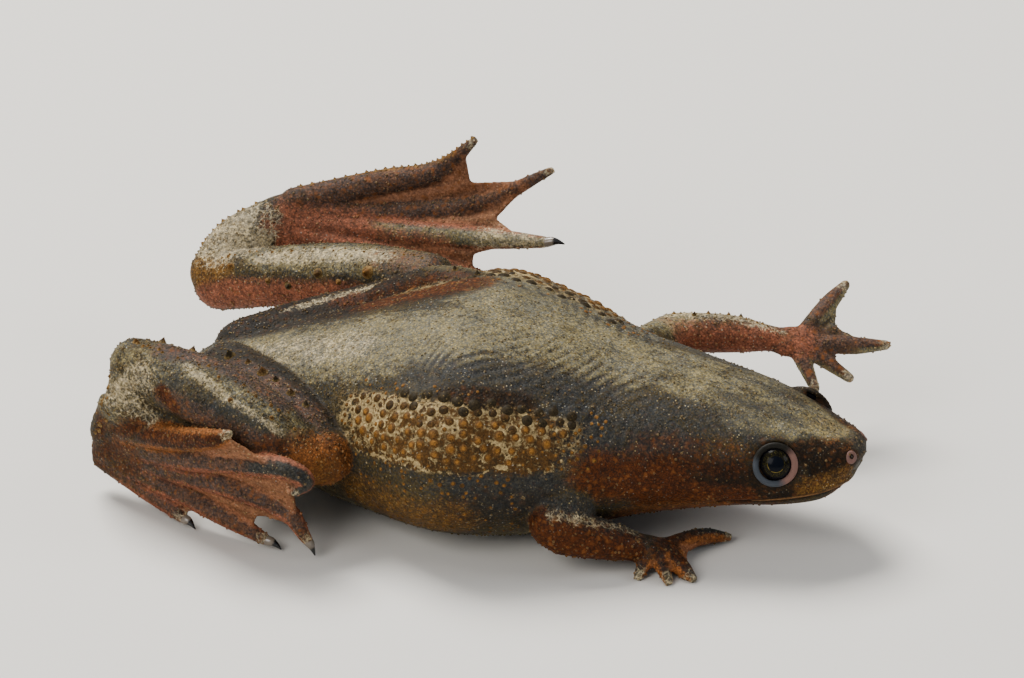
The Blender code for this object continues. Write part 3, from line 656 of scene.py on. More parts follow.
def make_grain():
    """Node group: the blotches, grain, spots, glints and granules that all the frog's skin shares."""
    group = bpy.data.node_groups.new("hide_grain", "ShaderNodeTree")
    group.interface.new_socket("Coarseness", in_out="INPUT", socket_type="NodeSocketFloat")
    for name in ("Blotch", "Blotch Two", "Grain", "Grain Two", "Fine", "Spots", "Glints", "Granules",
                 "Granule Tone", "Speck", "Speck Hue", "Streak", "Cracks"):
        group.interface.new_socket(name, in_out="OUTPUT", socket_type="NodeSocketFloat")
    inside, outside = group.nodes.new("NodeGroupInput"), group.nodes.new("NodeGroupOutput")
    where = node(group, "ShaderNodeTexCoord").outputs["Object"]
    scale = calc(group, "DIVIDE", 1 / MM, inside.outputs["Coarseness"])
    where = node(group, "ShaderNodeVectorMath", {0: where, "Scale": scale}, operation="SCALE").outputs[0]
    blotch = node(group, "ShaderNodeTexNoise",
                  {"Vector": where, "Scale": 0.55, "Detail": 4.0, "Roughness": 0.6})
    grain = node(group, "ShaderNodeTexNoise", {"Vector": where, "Scale": 2.1, "Detail": 5.0, "Roughness": 0.65})
    fine = node(group, "ShaderNodeTexNoise", {"Vector": where, "Scale": 7.0, "Detail": 3.0, "Roughness": 0.7})
    shift = node(group, "ShaderNodeVectorMath", {0: grain.outputs["Color"], "Scale": 0.6},
                 operation="SCALE").outputs[0]
    bent = node(group, "ShaderNodeVectorMath", {0: where, 1: shift}, operation="ADD").outputs[0]
    spots = node(group, "ShaderNodeTexVoronoi", {"Vector": bent, "Scale": 2.7})
    glints = node(group, "ShaderNodeTexVoronoi", {"Vector": where, "Scale": 8.0})
    granules = node(group, "ShaderNodeTexVoronoi", {"Vector": where, "Scale": 6.5})
    specks = node(group, "ShaderNodeTexVoronoi", {"Vector": where, "Scale": 13.0})
    drawn_out = node(group, "ShaderNodeVectorMath", {0: where, 1: (0.28, 1.2, 1.2)},
                     operation="MULTIPLY").outputs[0]
    streak = node(group, "ShaderNodeTexNoise",
                  {"Vector": drawn_out, "Scale": 1.7, "Detail": 5.0, "Roughness": 0.7})
    cracks = node(group, "ShaderNodeTexVoronoi", {"Vector": bent, "Scale": 2.4}, feature="DISTANCE_TO_EDGE")
    blotches = node(group, "ShaderNodeSeparateColor", {"Color": blotch.outputs["Color"]})
    grains = node(group, "ShaderNodeSeparateColor", {"Color": grain.outputs["Color"]})
    spot_draw = node(group, "ShaderNodeSeparateColor", {"Color": spots.outputs["Color"]})
    glint_draw = node(group, "ShaderNodeSeparateColor", {"Color": glints.outputs["Color"]})
    granule_draw = node(group, "ShaderNodeSeparateColor", {"Color": granules.outputs["Color"]})
    speck_draw = node(group, "ShaderNodeSeparateColor", {"Color": specks.outputs["Color"]})
    spot = calc(group, "MULTIPLY", between(group, spots.outputs["Distance"], 0.5, 0.08),
                between(group, spot_draw.outputs["Red"], 0.2, 0.5))
    glint = calc(group, "MULTIPLY", between(group, glints.outputs["Distance"], 0.4, 0.2),
                 between(group, glint_draw.outputs["Green"], 0.84, 0.9))
    made = {"Blotch": blotches.outputs["Red"], "Blotch Two": blotches.outputs["Green"],
            "Grain": grains.outputs["Red"], "Grain Two": grains.outputs["Green"],
            "Fine": fine.outputs["Fac"], "Spots": spot, "Glints": glint,
            "Granules": between(group, granules.outputs["Distance"], 0.6, 0.1),
            "Granule Tone": granule_draw.outputs["Red"],
            "Speck": speck_draw.outputs["Red"], "Speck Hue": speck_draw.outputs["Green"],
            "Streak": streak.outputs["Fac"], "Cracks": cracks.outputs["Distance"]}
    for name, value in made.items():
        group.links.new(value, outside.inputs[name])
    return group


hide_grain = make_grain()


def grain_in(tree, coarseness=1.0):
    """Places the shared grain in a material."""
    made = node(tree, "ShaderNodeGroup", node_tree=hide_grain)
    made.inputs["Coarseness"].default_value = coarseness
    return made.outputs


def wobble(tree, grain, value, /, **shares):
    """A value shaken by the grain, each kind by its own share."""
    for name, share in shares.items():
        shift = calc(tree, "SUBTRACT", grain[name.replace("_", " ").title()], 0.5)
        value = calc(tree, "ADD", value, calc(tree, "MULTIPLY", shift, share))
    return value


def wet(tree, shader, height, distance, strength=0.6, roughness=0.6, coat=0.0):
    """The relief and the damp gloss of skin."""
    relief = node(tree, "ShaderNodeBump", {"Height": height, "Distance": distance * MM, "Strength": strength})
    tree.links.new(relief.outputs["Normal"], shader.inputs["Normal"])
    shader.inputs["Roughness"].default_value = roughness
    shader.inputs["Coat Weight"].default_value = coat
    shader.inputs["Coat Roughness"].default_value = 0.3
    shader.inputs["Specular IOR Level"].default_value = 0.08


def fill_in(modifier, **sizes):
    """Sets a modifier's named inputs."""
    for item in modifier.node_group.interface.items_tree:
        if item.in_out == "INPUT" and item.name in sizes:
            modifier[item.identifier] = sizes[item.name]


def wart_tree():
    """Geometry Nodes: a wart on each point, round or pointed, turned to face outwards."""
    tree = bpy.data.node_groups.new("warts_on_points", "GeometryNodeTree")
    for name, kind in (("Geometry", "NodeSocketGeometry"), ("Pointed", "NodeSocketFloat"),
                       ("Fineness", "NodeSocketInt"), ("Finish", "NodeSocketMaterial")):
        tree.interface.new_socket(name, in_out="INPUT", socket_type=kind)
    tree.interface.new_socket("Geometry", in_out="OUTPUT", socket_type="NodeSocketGeometry")
    inside, outside = tree.nodes.new("NodeGroupInput"), tree.nodes.new("NodeGroupOutput")

    def painted(name, kind):
        return node(tree, "GeometryNodeInputNamedAttribute", {"Name": name}, data_type=kind).outputs[0]

    dome = node(tree, "GeometryNodeMeshIcoSphere",
                {"Radius": 1.0, "Subdivisions": inside.outputs["Fineness"]}).outputs["Mesh"]
    place = node(tree, "GeometryNodeInputPosition").outputs[0]
    parts = node(tree, "ShaderNodeSeparateXYZ", {0: place})
    rise = calc(tree, "MAXIMUM", parts.outputs["Z"], 0.0)
    narrow = calc(tree, "SUBTRACT", 1.0, calc(tree, "MULTIPLY", rise, inside.outputs["Pointed"]))
    shaped = node(tree, "ShaderNodeCombineXYZ", {
        0: calc(tree, "MULTIPLY", parts.outputs["X"], narrow),
        1: calc(tree, "MULTIPLY", parts.outputs["Y"], narrow),
        2: parts.outputs["Z"]}).outputs[0]
    dome = node(tree, "GeometryNodeSetPosition", {"Geometry": dome, "Position": shaped}).outputs[0]
    dome = node(tree, "GeometryNodeStoreNamedAttribute", {"Geometry": dome, "Name": "rise", "Value": rise},
                data_type="FLOAT", domain="POINT").outputs[0]
    turned_out = node(tree, "FunctionNodeAlignRotationToVector", {"Vector": painted("facing", "FLOAT_VECTOR")},
                      axis="Z").outputs[0]
    placed = node(tree, "GeometryNodeInstanceOnPoints", {
        "Points": inside.outputs["Geometry"], "Instance": dome, "Rotation": turned_out,
        "Scale": painted("size", "FLOAT_VECTOR")}).outputs[0]
    solid = node(tree, "GeometryNodeRealizeInstances", {"Geometry": placed}).outputs[0]
    finished = node(tree, "GeometryNodeSetMaterial", {"Geometry": solid, "Material": inside.outputs["Finish"]})
    tree.links.new(finished.outputs[0], outside.inputs[0])
    return tree


def set_warts(name, rows, tree, **sizes):
    """Grows a set of warts from rows of place, facing, size and tone."""
    mesh = bpy.data.meshes.new(name)
    mesh.from_pydata([row[0] - row[1] * WART_DEPTH * row[2][2] for row in rows], [], [])
    for mark_name, kind, key, values in (("facing", "FLOAT_VECTOR", "vector", [row[1] for row in rows]),
                                         ("size", "FLOAT_VECTOR", "vector", [row[2] for row in rows]),
                                         ("tone", "FLOAT", "value", [row[3] for row in rows])):
        mesh.attributes.new(mark_name, kind, "POINT").data.foreach_set(key, np.array(values, float).ravel())
    thing = scratch(mesh)
    grow = thing.modifiers.new("grow", "NODES")
    grow.node_group = tree
    fill_in(grow, **sizes)
    made = plain_copy(thing, name)
    thing.modifiers.clear()
    thing.data = made
    settle(thing, "body_skin")


WART_DARK = (0.020, 0.014, 0.006)
WART_AMBER = (0.100, 0.047, 0.012)
WART_GOLD = (0.20, 0.13, 0.045)
WART_CROWN_HIGHLIGHT = (0.23, 0.10, 0.016)
wart_paint, tree, shader = finish_of("wart_paint")
grain = grain_in(tree)
tone = wobble(tree, grain, mark(tree, "tone"), grain=1.2)
colour = over(tree, between(tree, tone, 0.1, 0.9), WART_DARK, WART_AMBER)
foot = wobble(tree, grain, mark(tree, "rise"), fine=0.5)
colour = over(tree, calc(tree, "MULTIPLY", between(tree, foot, 0.62, 0.34), 0.5), colour, WART_GOLD)
# Painted highlight: a lighter amber spot on the crown of each amber wart.
crown_highlight = calc(tree, "MULTIPLY", between(tree, mark(tree, "rise"), 0.78, 1.0), between(tree, tone, 0.3, 0.9))
colour = over(tree, calc(tree, "MULTIPLY", crown_highlight, 0.8), colour, WART_CROWN_HIGHLIGHT)
speck = calc(tree, "ADD", calc(tree, "MULTIPLY", grain["Speck"], 0.9), 0.55)
grey = node(tree, "ShaderNodeCombineColor", {0: speck, 1: speck, 2: speck}).outputs[0]
colour = over(tree, 1.0, colour, grey, "MULTIPLY")
colour = over(tree, calc(tree, "MULTIPLY", grain["Glints"], 0.6), colour, WART_GOLD)
tree.links.new(colour, shader.inputs["Base Color"])
wet(tree, shader, grain["Fine"], 0.03)
grown = wart_tree()
large_warts = [row for row in warts if row[2][0] > SMALL_RADII[1]]
small_warts = [row for row in warts if row[2][0] <= SMALL_RADII[1]]
set_warts("flank_warts", large_warts, grown, Pointed=0.0, Fineness=3, Finish=wart_paint)
set_warts("flank_warts_small", small_warts, grown, Pointed=0.0, Fineness=2, Finish=wart_paint)
set_warts("limb_tubercles", tubercles, grown, Pointed=0.85, Fineness=3, Finish=wart_paint)

# Skin: one closed surface drawn over all those forms, softened where the limbs join and pulled into
# wrinkles at the shoulders. It is cast in one piece and airbrushed with thin, speckled pigments; part
# of that paint is painted light: a sheen along the back, highlights on crests and shade in hollows.
VOXEL = 0.1
SOFTENING = 3
JOINT_SOFTENING = 30
SOFTENING_SHARE = 0.6
JOINTS = (("thigh_right", -1, 1.9), ("thigh_left", -1, 1.6), ("shank_right", -1, 1.9), ("shank_left", -1, 1.9),
          ("tarsus_right", -1, 1.8), ("tarsus_left", -1, 1.8), ("upper_arm_right", 0, 3.6),
          ("upper_arm_left", 0, 2.8), ("upper_arm_right", -1, 1.8), ("upper_arm_left", -1, 1.6),
          ("forearm_right", -1, 1.3), ("forearm_left", -1, 1.3), ("hand_right", -1, 1.2),
          ("hand_left", -1, 1.2))
MOST_TRIANGLES = 190000
WRINKLE_ACROSS = (0.82, -0.51, -0.25)
WRINKLE_SPACING = 0.58
WRINKLE_DEPTH = 0.038
WRINKLE_REACH = (((14.0, -4.2, 10.2), (21.8, -2.8, 8.9), 2.2), ((21.0, -4.8, 7.6), (24.0, -4.2, 7.6), 1.5))
LEFT_WRINKLES = 0.4
WART_SWELL = 0.1
MOUTH_START = (27.2, 28.6)
MOUTH_WIDTH = 0.11
MOUTH_GROOVE = 0.2
HEAD_REACH = 5.4

bpy.ops.object.select_all(action="DESELECT")
for piece in flesh:
    piece.select_set(True)
bpy.context.view_layer.objects.active = flesh[0]
bpy.ops.object.join()
forms = bpy.context.view_layer.objects.active
remesh = forms.modifiers.new("one_surface", "REMESH")
remesh.mode = "VOXEL"
remesh.voxel_size = VOXEL
skin_mesh = plain_copy(forms, "frog_skin")
bpy.data.objects.remove(forms)


def read(items, key, width=3, kind=float):
    """One property of a mesh's points or edges as an array."""
    flat = np.empty(len(items) * width, kind)
    items.foreach_get(key, flat)
    return flat.reshape(-1, width)


def spread(edges, count, values):
    """The mean of each point's neighbours."""
    one, other = edges[:, 0], edges[:, 1]
    number = np.bincount(one, minlength=count) + np.bincount(other, minlength=count)
    columns = values.reshape(count, -1)
    sums = [np.bincount(one, columns[other, i], count) + np.bincount(other, columns[one, i], count)
            for i in range(columns.shape[1])]
    return (np.stack(sums, 1) / np.maximum(number, 1)[:, None]).reshape(values.shape)


def smoothstep(low, high, value):
    """0 below low, 1 above high, and a soft step between."""
    t = np.clip((value - low) / (high - low), 0.0, 1.0)
    return t * t * (3 - 2 * t)


def stroke(points, start, end, radius):
    """The cover that one pass of the airbrush leaves."""
    start, way = np.array(start), np.array(end) - np.array(start)
    along = np.clip((points - start) @ way / max(way @ way, 1e-9), 0.0, 1.0)
    gap = np.linalg.norm(points - start - along[:, None] * way, axis=1)
    return 1 - smoothstep(0.4 * radius, 1.5 * radius, gap)


def folded(points):
    """The points with the left side laid over the right."""
    return points * (1, 0, 1) - np.abs(points) * (0, 1, 0)


points = read(skin_mesh.vertices, "co")
edges = read(skin_mesh.edges, "vertices", 2, int)
joint_share = np.zeros(len(points))
for name, end, radius in JOINTS:
    gap = np.linalg.norm(points - axes[name][0][end], axis=1)
    joint_share = np.maximum(joint_share, 1 - smoothstep(0.6 * radius, radius, gap))
for k in range(JOINT_SOFTENING):
    share = joint_share if k >= SOFTENING else np.maximum(joint_share, SOFTENING_SHARE)
    points += (spread(edges, len(points), points) - points) * (SOFTENING_SHARE * share)[:, None]


def wrinkle_at(points):
    """The rise and fall of the skin's folds over the shoulders."""
    folds = np.max([stroke(folded(points), *reach) for reach in WRINKLE_REACH], axis=0)
    folds *= np.where(points[:, 1] > 0, LEFT_WRINKLES, 1.0)
    lines = folded(points) @ np.array(WRINKLE_ACROSS) / WRINKLE_SPACING
    lines += 0.7 * np.sin(1.1 * points[:, 0] + 1.7 * points[:, 2])
    lines += 0.6 * np.sin(0.9 * points[:, 1] - 1.3 * points[:, 2])
    gaps = np.sin(1.7 * points[:, 0] + 1.3 * points[:, 1]) * np.sin(0.9 * points[:, 0] - 1.9 * points[:, 2])
    return folds * (0.5 + 0.5 * gaps) * np.sin(2 * np.pi * lines)


def mouth_at(points):
    """1 along the line of the mouth, 0 away from it."""
    on_head = smoothstep(*MOUTH_START, points[:, 0]) * (np.abs(points[:, 1]) < HEAD_REACH)
    return np.exp(-((points[:, 2] - mouth_height(points[:, 0])) / MOUTH_WIDTH) ** 2) * on_head


relief = WRINKLE_DEPTH * wrinkle_at(points) - MOUTH_GROOVE * mouth_at(points)
points += read(skin_mesh.vertices, "normal") * relief[:, None]
swell = np.zeros(len(points))
for place, facing, size, tone in warts:
    near = np.flatnonzero(np.abs(points[:, 0] - place[0]) < 3 * size[0])
    gap = np.linalg.norm(points[near] - place, axis=1)
    lift = WART_SWELL * size[0] / WART_ROWS[0][4] * (1 - smoothstep(0, 2.2 * size[0], gap))
    swell[near] = np.maximum(swell[near], lift)
points += read(skin_mesh.vertices, "normal") * swell[:, None]
points[:, 2] = np.maximum(points[:, 2], 0.0)
skin_mesh.vertices.foreach_set("co", points.ravel())
skin_mesh.update()

skin = scratch(skin_mesh)
skin.name = "frog_skin"
thin = skin.modifiers.new("thin", "DECIMATE")
triangles = sum(len(face.vertices) - 2 for face in skin_mesh.polygons)
thin.ratio = min(1.0, MOST_TRIANGLES / triangles)
skin_mesh = plain_copy(skin, "frog_skin")
skin.modifiers.clear()
skin.data = skin_mesh
points = read(skin_mesh.vertices, "co")
edges = read(skin_mesh.edges, "vertices", 2, int)

REGIONS = ("body", "leg_right", "foot_right", "leg_left", "foot_left", "arm_right", "hand_right", "arm_left",
           "hand_left")
REGION_BLUR = 10
AXIS_STEP = 2
WEB_NEAR = 0.35
FOOT_REACH = 14.0


def region_of(name):
    """The region of the body that a form belongs to."""
    side = "right" if "right" in name else "left"
    if name.startswith(("foot", "hand")):
        return name.split("_")[0] + "_" + side
    return ("arm_" if "arm" in name else "leg_") + side


def form_gaps(axis, step=1):
    """How far each point of the skin lies outside a form, measured from each step of its axis."""
    centres, halves = axis[0][::step], axis[4][::step]
    return np.linalg.norm(points[:, None] - centres[None], axis=2) - halves.mean(1)


wide, middle, half = body_section(points[:, 0])
rounded = (np.abs(points[:, 1] / wide) ** BODY_SQUARENESS
           + np.abs((points[:, 2] - middle) / half) ** BODY_SQUARENESS) ** (1 / BODY_SQUARENESS)
outside_of = {region: np.full(len(points), np.inf) for region in REGIONS}
outside_of["body"] = np.abs(rounded - 1) * np.minimum(wide, half)
digit_gap = np.full(len(points), np.inf)
for name, axis in axes.items():
    gap = form_gaps(axis, AXIS_STEP).min(1)
    region = region_of(name)
    outside_of[region] = np.minimum(outside_of[region], np.abs(gap))
    if "digit" in name:
        digit_gap = np.minimum(digit_gap, gap)
web_tree = KDTree(len(web_points))
for i, point in enumerate(web_points):
    web_tree.insert(point, i)
web_tree.balance()
web_gap = np.array([web_tree.find(point)[2] for point in points])
for region in REGIONS:
    if region.startswith(("foot", "hand")):
        inner = np.linalg.norm(points - axes[region][0].mean(0), axis=1) < FOOT_REACH
        outside_of[region] = np.where(inner & (web_gap < WEB_NEAR), 0.0, outside_of[region])
nearest = np.argmin([outside_of[region] for region in REGIONS], axis=0)
weights = np.eye(len(REGIONS))[nearest]
for k in range(REGION_BLUR):
    weights = 0.5 * weights + 0.5 * spread(edges, len(points), weights)
weight = dict(zip(REGIONS, weights.T))

PAINT = (  # pigment, region, start, end, radius, cover; on the body both sides alike, given for the right
    # The first four pale strokes and the ivory stroke at the rump lay a pale band along the back and over the
    # head: partly the skin's own pale colour, partly a painted sheen of the light from above.
    ("pale", "right", (1.5, -1.6, 6.6), (8.0, -2.4, 8.9), 2.0, 1.0),
    ("pale", "right", (8.0, -2.4, 8.9), (13.5, -3.0, 10.2), 2.3, 1.0),
    ("pale", "body", (15.0, -1.6, 10.6), (21.5, -0.3, 9.4), 2.6, 0.85),
    ("pale", "body", (22.0, -0.4, 9.2), (31.2, -1.3, 7.4), 1.5, 0.65),
    ("pale", "body", (3.0, -1.0, 1.5), (18.0, -2.0, 0.0), 4.5, 0.6),
    # painted highlight on the rear of the back, over its pale colour
    ("ivory", "right", (2.0, -1.6, 7.6), (8.5, -2.6, 9.1), 1.2, 0.5),
    ("pale", "body", (28.4, -2.5, 7.4), (31.4, -1.9, 6.95), 0.6, 0.95),
    ("slate", "body", (27.5, -1.2, 8.0), (31.5, -0.8, 7.2), 0.5, 0.5),
    ("slate", "body", (13.0, -5.8, 9.6), (22.0, -3.6, 8.6), 1.3, 0.6),
    ("slate", "body", (20.5, -6.3, 7.6), (25.5, -4.9, 7.0), 1.7, 0.8),
    ("slate", "body", (24.5, -3.6, 8.0), (29.6, -2.6, 7.5), 1.1, 0.5),
    ("slate", "body", (16.8, -8.8, 5.4), (19.6, -7.6, 4.6), 1.7, 0.9),
    ("umber", "body", (15.5, -8.9, 3.6), (19.6, -7.4, 3.4), 1.6, 0.35),
    ("umber", "body", (14.6, -6.9, 9.0), (18.6, -6.1, 8.9), 0.75, 0.9),
    ("umber", "body", (31.4, -2.8, 6.1), (33.7, -1.3, 5.9), 0.8, 1.0),
    ("umber", "body", (32.8, -2.6, 5.3), (34.4, -1.2, 5.4), 0.6, 1.0),
    ("umber", "body", (30.8, -3.3, 5.6), (30.8, -3.3, 5.5), 1.6, 1.0),
    ("umber", "body", (25.5, -5.1, 5.4), (30.3, -4.1, 4.9), 1.1, 0.9),
    ("umber", "body", (28.6, -4.4, 4.3), (32.4, -3.2, 4.3), 0.7, 0.9),
    ("rust", "body", (22.3, -6.3, 5.2), (25.5, -5.4, 4.9), 1.5, 0.9),
    ("rust", "body", (24.6, -5.3, 4.0), (29.3, -4.2, 3.7), 1.0, 0.9),
    ("rust", "body", (24.6, -4.9, 6.4), (28.6, -4.2, 6.1), 1.2, 0.4),
    ("rust", "body", (20.0, -3.0, 0.8), (30.0, -1.6, 2.2), 2.2, 0.8),
    ("rust", "body", (30.0, -1.5, 2.4), (33.4, -1.0, 3.6), 0.9, 0.8),
    ("tan", "body", (23.5, -4.4, 2.4), (28.0, -3.4, 2.8), 1.2, 0.5),
    ("amber", "body", (32.4, -3.1, 4.5), (34.2, -1.6, 4.7), 0.55, 0.75),
    ("amber", "body", (32.6, -0.2, 6.8), (34.6, -0.2, 5.9), 0.9, 0.2),
    ("tan", "body", (33.0, -1.2, 6.6), (34.1, -0.9, 6.0), 0.45, 0.25),
    ("pale", "body", (31.5, -0.8, 6.9), (34.0, -0.6, 6.2), 0.9, 0.65),
    ("slate", "body", (34.5, -0.5, 5.7), (34.7, 0.0, 5.0), 0.8, 0.9),
    ("amber", "body", (10.0, -7.2, 2.6), (15.0, -8.4, 3.0), 1.7, 0.6),
    # Painted shade with the skin's own dark red: these dark slate, umber and rust strokes darken the hollow
    # between the far thigh and the back.
    ("slate", "left", (1.0, 1.4, 6.7), (7.0, 2.2, 8.7), 1.4, 0.9),
    ("umber", "left", (1.0, 1.4, 6.5), (6.0, 1.8, 8.3), 1.4, 0.5),
    ("umber", "left", (6.0, 1.9, 8.3), (12.5, 2.4, 10.2), 1.5, 0.75),
    ("rust", "left", (8.0, 2.2, 9.2), (13.2, 2.8, 10.4), 1.3, 0.75),
    ("slate", "left", (14.5, 3.0, 10.5), (22.0, 2.6, 9.2), 1.0, 0.35),
    ("pale", "left", (13.0, 3.9, 10.6), (21.5, 3.8, 8.9), 1.7, 0.9),
    ("umber", "left", (30.6, 1.6, 7.1), (31.2, 2.3, 6.8), 0.9, 0.5),
    ("umber", "leg_right", (0.5, -1.6, 7.2), (7.4, -6.0, 7.0), 1.3, 0.5),
    ("slate", "leg_right", (0.5, -1.6, 7.2), (7.4, -6.0, 7.0), 1.8, 0.6),
    ("pale", "leg_right", (-0.5, -6.8, 8.6), (6.4, -8.6, 7.0), 1.9, 0.35),
    ("mauve", "leg_right", (2.0, -3.6, 7.6), (7.4, -6.6, 7.0), 0.8, 0.5),
    ("tan", "leg_right", (7.6, -8.8, 4.6), (8.7, -7.6, 4.2), 1.7, 0.95),
    ("rust", "leg_right", (6.0, -9.6, 5.8), (8.6, -7.8, 5.6), 1.1, 0.6),
    ("amber", "leg_right", (8.4, -8.5, 4.6), (7.6, -9.0, 3.6), 1.0, 0.5),
    # Painted highlight: thin pale and ivory lines along the near shank's crest, where light from above falls on
    # it.
    ("pale", "leg_right", (0.9, -7.3, 9.0), (3.3, -8.6, 8.3), 0.35, 0.9),
    ("pale", "leg_right", (3.3, -8.6, 8.3), (6.4, -9.1, 6.9), 0.35, 0.8),
    ("ivory", "leg_right", (0.9, -7.3, 9.0), (3.3, -8.6, 8.3), 0.26, 0.72),
    ("ivory", "leg_right", (3.3, -8.6, 8.3), (6.4, -9.1, 6.9), 0.24, 0.68),
    ("slate", "leg_right", (0.4, -8.1, 7.9), (6.2, -9.5, 6.6), 0.9, 0.6),
    ("slate", "leg_right", (-0.2, -6.2, 9.1), (6.0, -7.5, 8.0), 0.8, 0.7),
    ("mauve", "leg_right", (0.0, -8.3, 7.2), (6.2, -9.7, 6.0), 0.9, 0.7),
    ("mauve", "leg_right", (-0.6, -6.0, 9.1), (6.0, -7.4, 8.0), 0.8, 0.55),
    ("pale", "leg_right", (-2.9, -6.5, 7.8), (-3.4, -6.7, 5.6), 1.6, 0.45),
    ("ivory", "leg_right", (-1.6, -7.2, 8.0), (-2.8, -7.0, 6.6), 0.9, 0.62),
    ("ivory", "leg_right", (-3.2, -6.6, 6.6), (-1.2, -7.5, 5.6), 0.8, 0.6),
    ("rust", "leg_right", (-0.3, -8.0, 7.6), (0.4, -8.2, 7.1), 0.5, 1.0),
    ("rust", "leg_right", (-4.4, -5.8, 3.2), (-4.0, -6.0, 4.2), 1.0, 0.8),
    ("rust", "foot_right", (-4.4, -5.8, 2.2), (-2.5, -6.6, 3.0), 1.2, 0.7),
    ("rust", "foot_right", (-3.2, -6.6, 5.0), (3.2, -10.2, 6.9), 1.0, 0.7),
    ("mauve", "foot_right", (-2.5, -6.8, 3.3), (4.0, -9.8, 5.0), 1.1, 0.7),
    ("pale", "foot_right", (-2.5, -6.9, 3.6), (3.5, -9.6, 5.4), 1.2, 0.3),
    ("pale", "leg_left", (0.0, 8.8, 7.2), (8.5, 7.6, 8.8), 1.0, 0.7),
    ("ivory", "leg_left", (0.0, 8.8, 7.1), (7.0, 7.9, 8.5), 0.5, 0.75),
    ("mauve", "leg_left", (6.8, 7.8, 8.6), (9.3, 7.4, 8.8), 0.9, 0.6),
    ("rose", "leg_left", (-2.8, 8.4, 4.3), (5.5, 6.9, 6.0), 1.15, 1.0),
    ("rust", "leg_left", (-1.0, 8.2, 4.8), (6.0, 6.9, 6.2), 0.7, 0.5),
    ("amber", "leg_left", (-3.6, 9.4, 5.4), (-2.4, 8.6, 6.4), 0.9, 0.8),
    ("ivory", "leg_left", (-2.3, 10.8, 6.4), (-0.7, 11.4, 7.5), 1.7, 0.95),
    # Painted shade with the skin's own dark red: the dark slate and umber strokes, and the rust one below,
    # darken the far thigh where it lies in the hollow by the back.
    ("slate", "leg_left", (1.5, 1.8, 6.6), (8.0, 5.2, 8.2), 2.0, 0.8),
    ("umber", "leg_left", (1.5, 1.8, 6.6), (8.0, 5.2, 8.2), 2.0, 0.7),
    ("umber", "leg_left", (8.0, 4.6, 8.6), (13.0, 3.6, 10.2), 1.3, 0.7),
    ("pale", "leg_left", (11.0, 5.2, 9.8), (15.5, 4.0, 10.4), 1.2, 0.7),
    ("rust", "leg_left", (6.0, 3.9, 8.2), (12.5, 3.4, 10.2), 0.9, 0.8),
    ("ivory", "leg_left", (2.9, 2.6, 7.1), (5.6, 4.5, 7.9), 0.28, 0.7),
    ("ivory", "leg_left", (5.6, 4.5, 7.9), (8.8, 6.2, 8.5), 0.28, 0.7),
    ("rose", "foot_left", (0.2, 11.9, 7.2), (4.2, 11.8, 7.4), 1.3, 1.0),
    ("rose", "foot_left", (4.2, 11.8, 7.0), (9.0, 11.4, 7.2), 1.0, 0.8),
    ("mauve", "foot_left", (2.5, 12.9, 8.9), (14.0, 12.9, 11.5), 0.9, 0.9),
    ("mauve", "foot_left", (0.6, 12.7, 8.4), (10.0, 14.0, 12.6), 0.9, 0.9),
    ("ivory", "foot_left", (11.5, 11.7, 8.3), (14.8, 11.2, 8.8), 0.9, 0.6),
    ("pale", "foot_left", (8.0, 11.9, 8.1), (14.8, 11.2, 8.8), 0.9, 0.8),
    ("amber", "foot_left", (2.0, 13.6, 9.7), (9.0, 14.2, 11.8), 0.5, 0.8),
    ("rust", "arm_right", (19.2, -8.4, 2.6), (24.2, -6.9, 1.0), 1.4, 1.0),
    ("slate", "arm_right", (20.2, -7.7, 3.8), (24.2, -5.9, 2.1), 1.0, 0.9),
    ("umber", "arm_right", (20.2, -8.2, 3.2), (24.2, -6.3, 1.7), 0.6, 0.5),
    ("ivory", "arm_right", (20.4, -7.9, 3.6), (22.6, -6.9, 2.9), 0.32, 0.58),
    ("ivory", "arm_right", (22.6, -6.9, 2.9), (24.2, -5.8, 2.0), 0.3, 0.58),
    ("rust", "hand_right", (24.8, -5.5, 1.6), (26.6, -5.0, 1.2), 1.7, 0.6),
    ("slate", "hand_right", (24.4, -5.4, 1.9), (27.4, -3.4, 1.2), 1.1, 0.9),
    ("rose", "arm_left", (21.9, 8.3, 5.4), (28.2, 10.0, 5.3), 1.2, 1.0),
    ("pale", "arm_left", (20.3, 7.6, 6.6), (22.2, 8.8, 6.6), 1.3, 0.9),
    ("ivory", "arm_left", (21.5, 9.2, 6.9), (27.6, 10.3, 6.3), 0.5, 0.8),
    ("mauve", "hand_left", (28.6, 10.4, 5.6), (30.2, 10.8, 5.2), 1.2, 0.9),
    ("rose", "hand_left", (26.6, 9.8, 5.3), (28.3, 10.3, 5.3), 1.1, 0.8),
    ("umber", "hand_left", (28.6, 11.0, 5.7), (29.1, 10.9, 5.6), 0.5, 0.7),
    ("umber", "hand_left", (29.2, 12.5, 6.4), (29.5, 13.1, 6.8), 0.35, 0.7),
    ("umber", "hand_left", (30.7, 11.4, 5.2), (31.4, 11.6, 5.1), 0.3, 0.6),
)
DIGIT_PAINT = {  # pigments of each digit's edges and of its back
    "foot_right": (*3 * (("rose", "mauve"),), ("rose", "slate"), ("tan", "umber")),
    "foot_left": (("rose", "rose"), ("rose", "mauve"), ("rose", "pale"), *2 * (("mauve", "mauve"),)),
    "hand_right": 4 * (("tan", "slate"),),
    "hand_left": 4 * (("pale", "mauve"),),
}
TIP_REACH = 0.5
TIP_COVER = 0.6
LEFT_NET = 0.45
LATTICE = (0.26, 0.28, 0.24, 0.8)  # everywhere, more above, more behind, most
LATTICE_TURN = (15.0, 27.0)
LATTICE_LENGTH = (10.5, 13.5)
PIGMENTS = ("pale", "slate", "umber", "mauve", "rust", "tan", "rose", "amber", "ivory")
NET_TURNS = (5.0, 12.0, 34.0, 44.0)
NET_LENGTH = (7.0, 12.0, 18.0, 22.5)
FRINGE_TURN = 9.0
FRINGE_WIDTH = 1.8

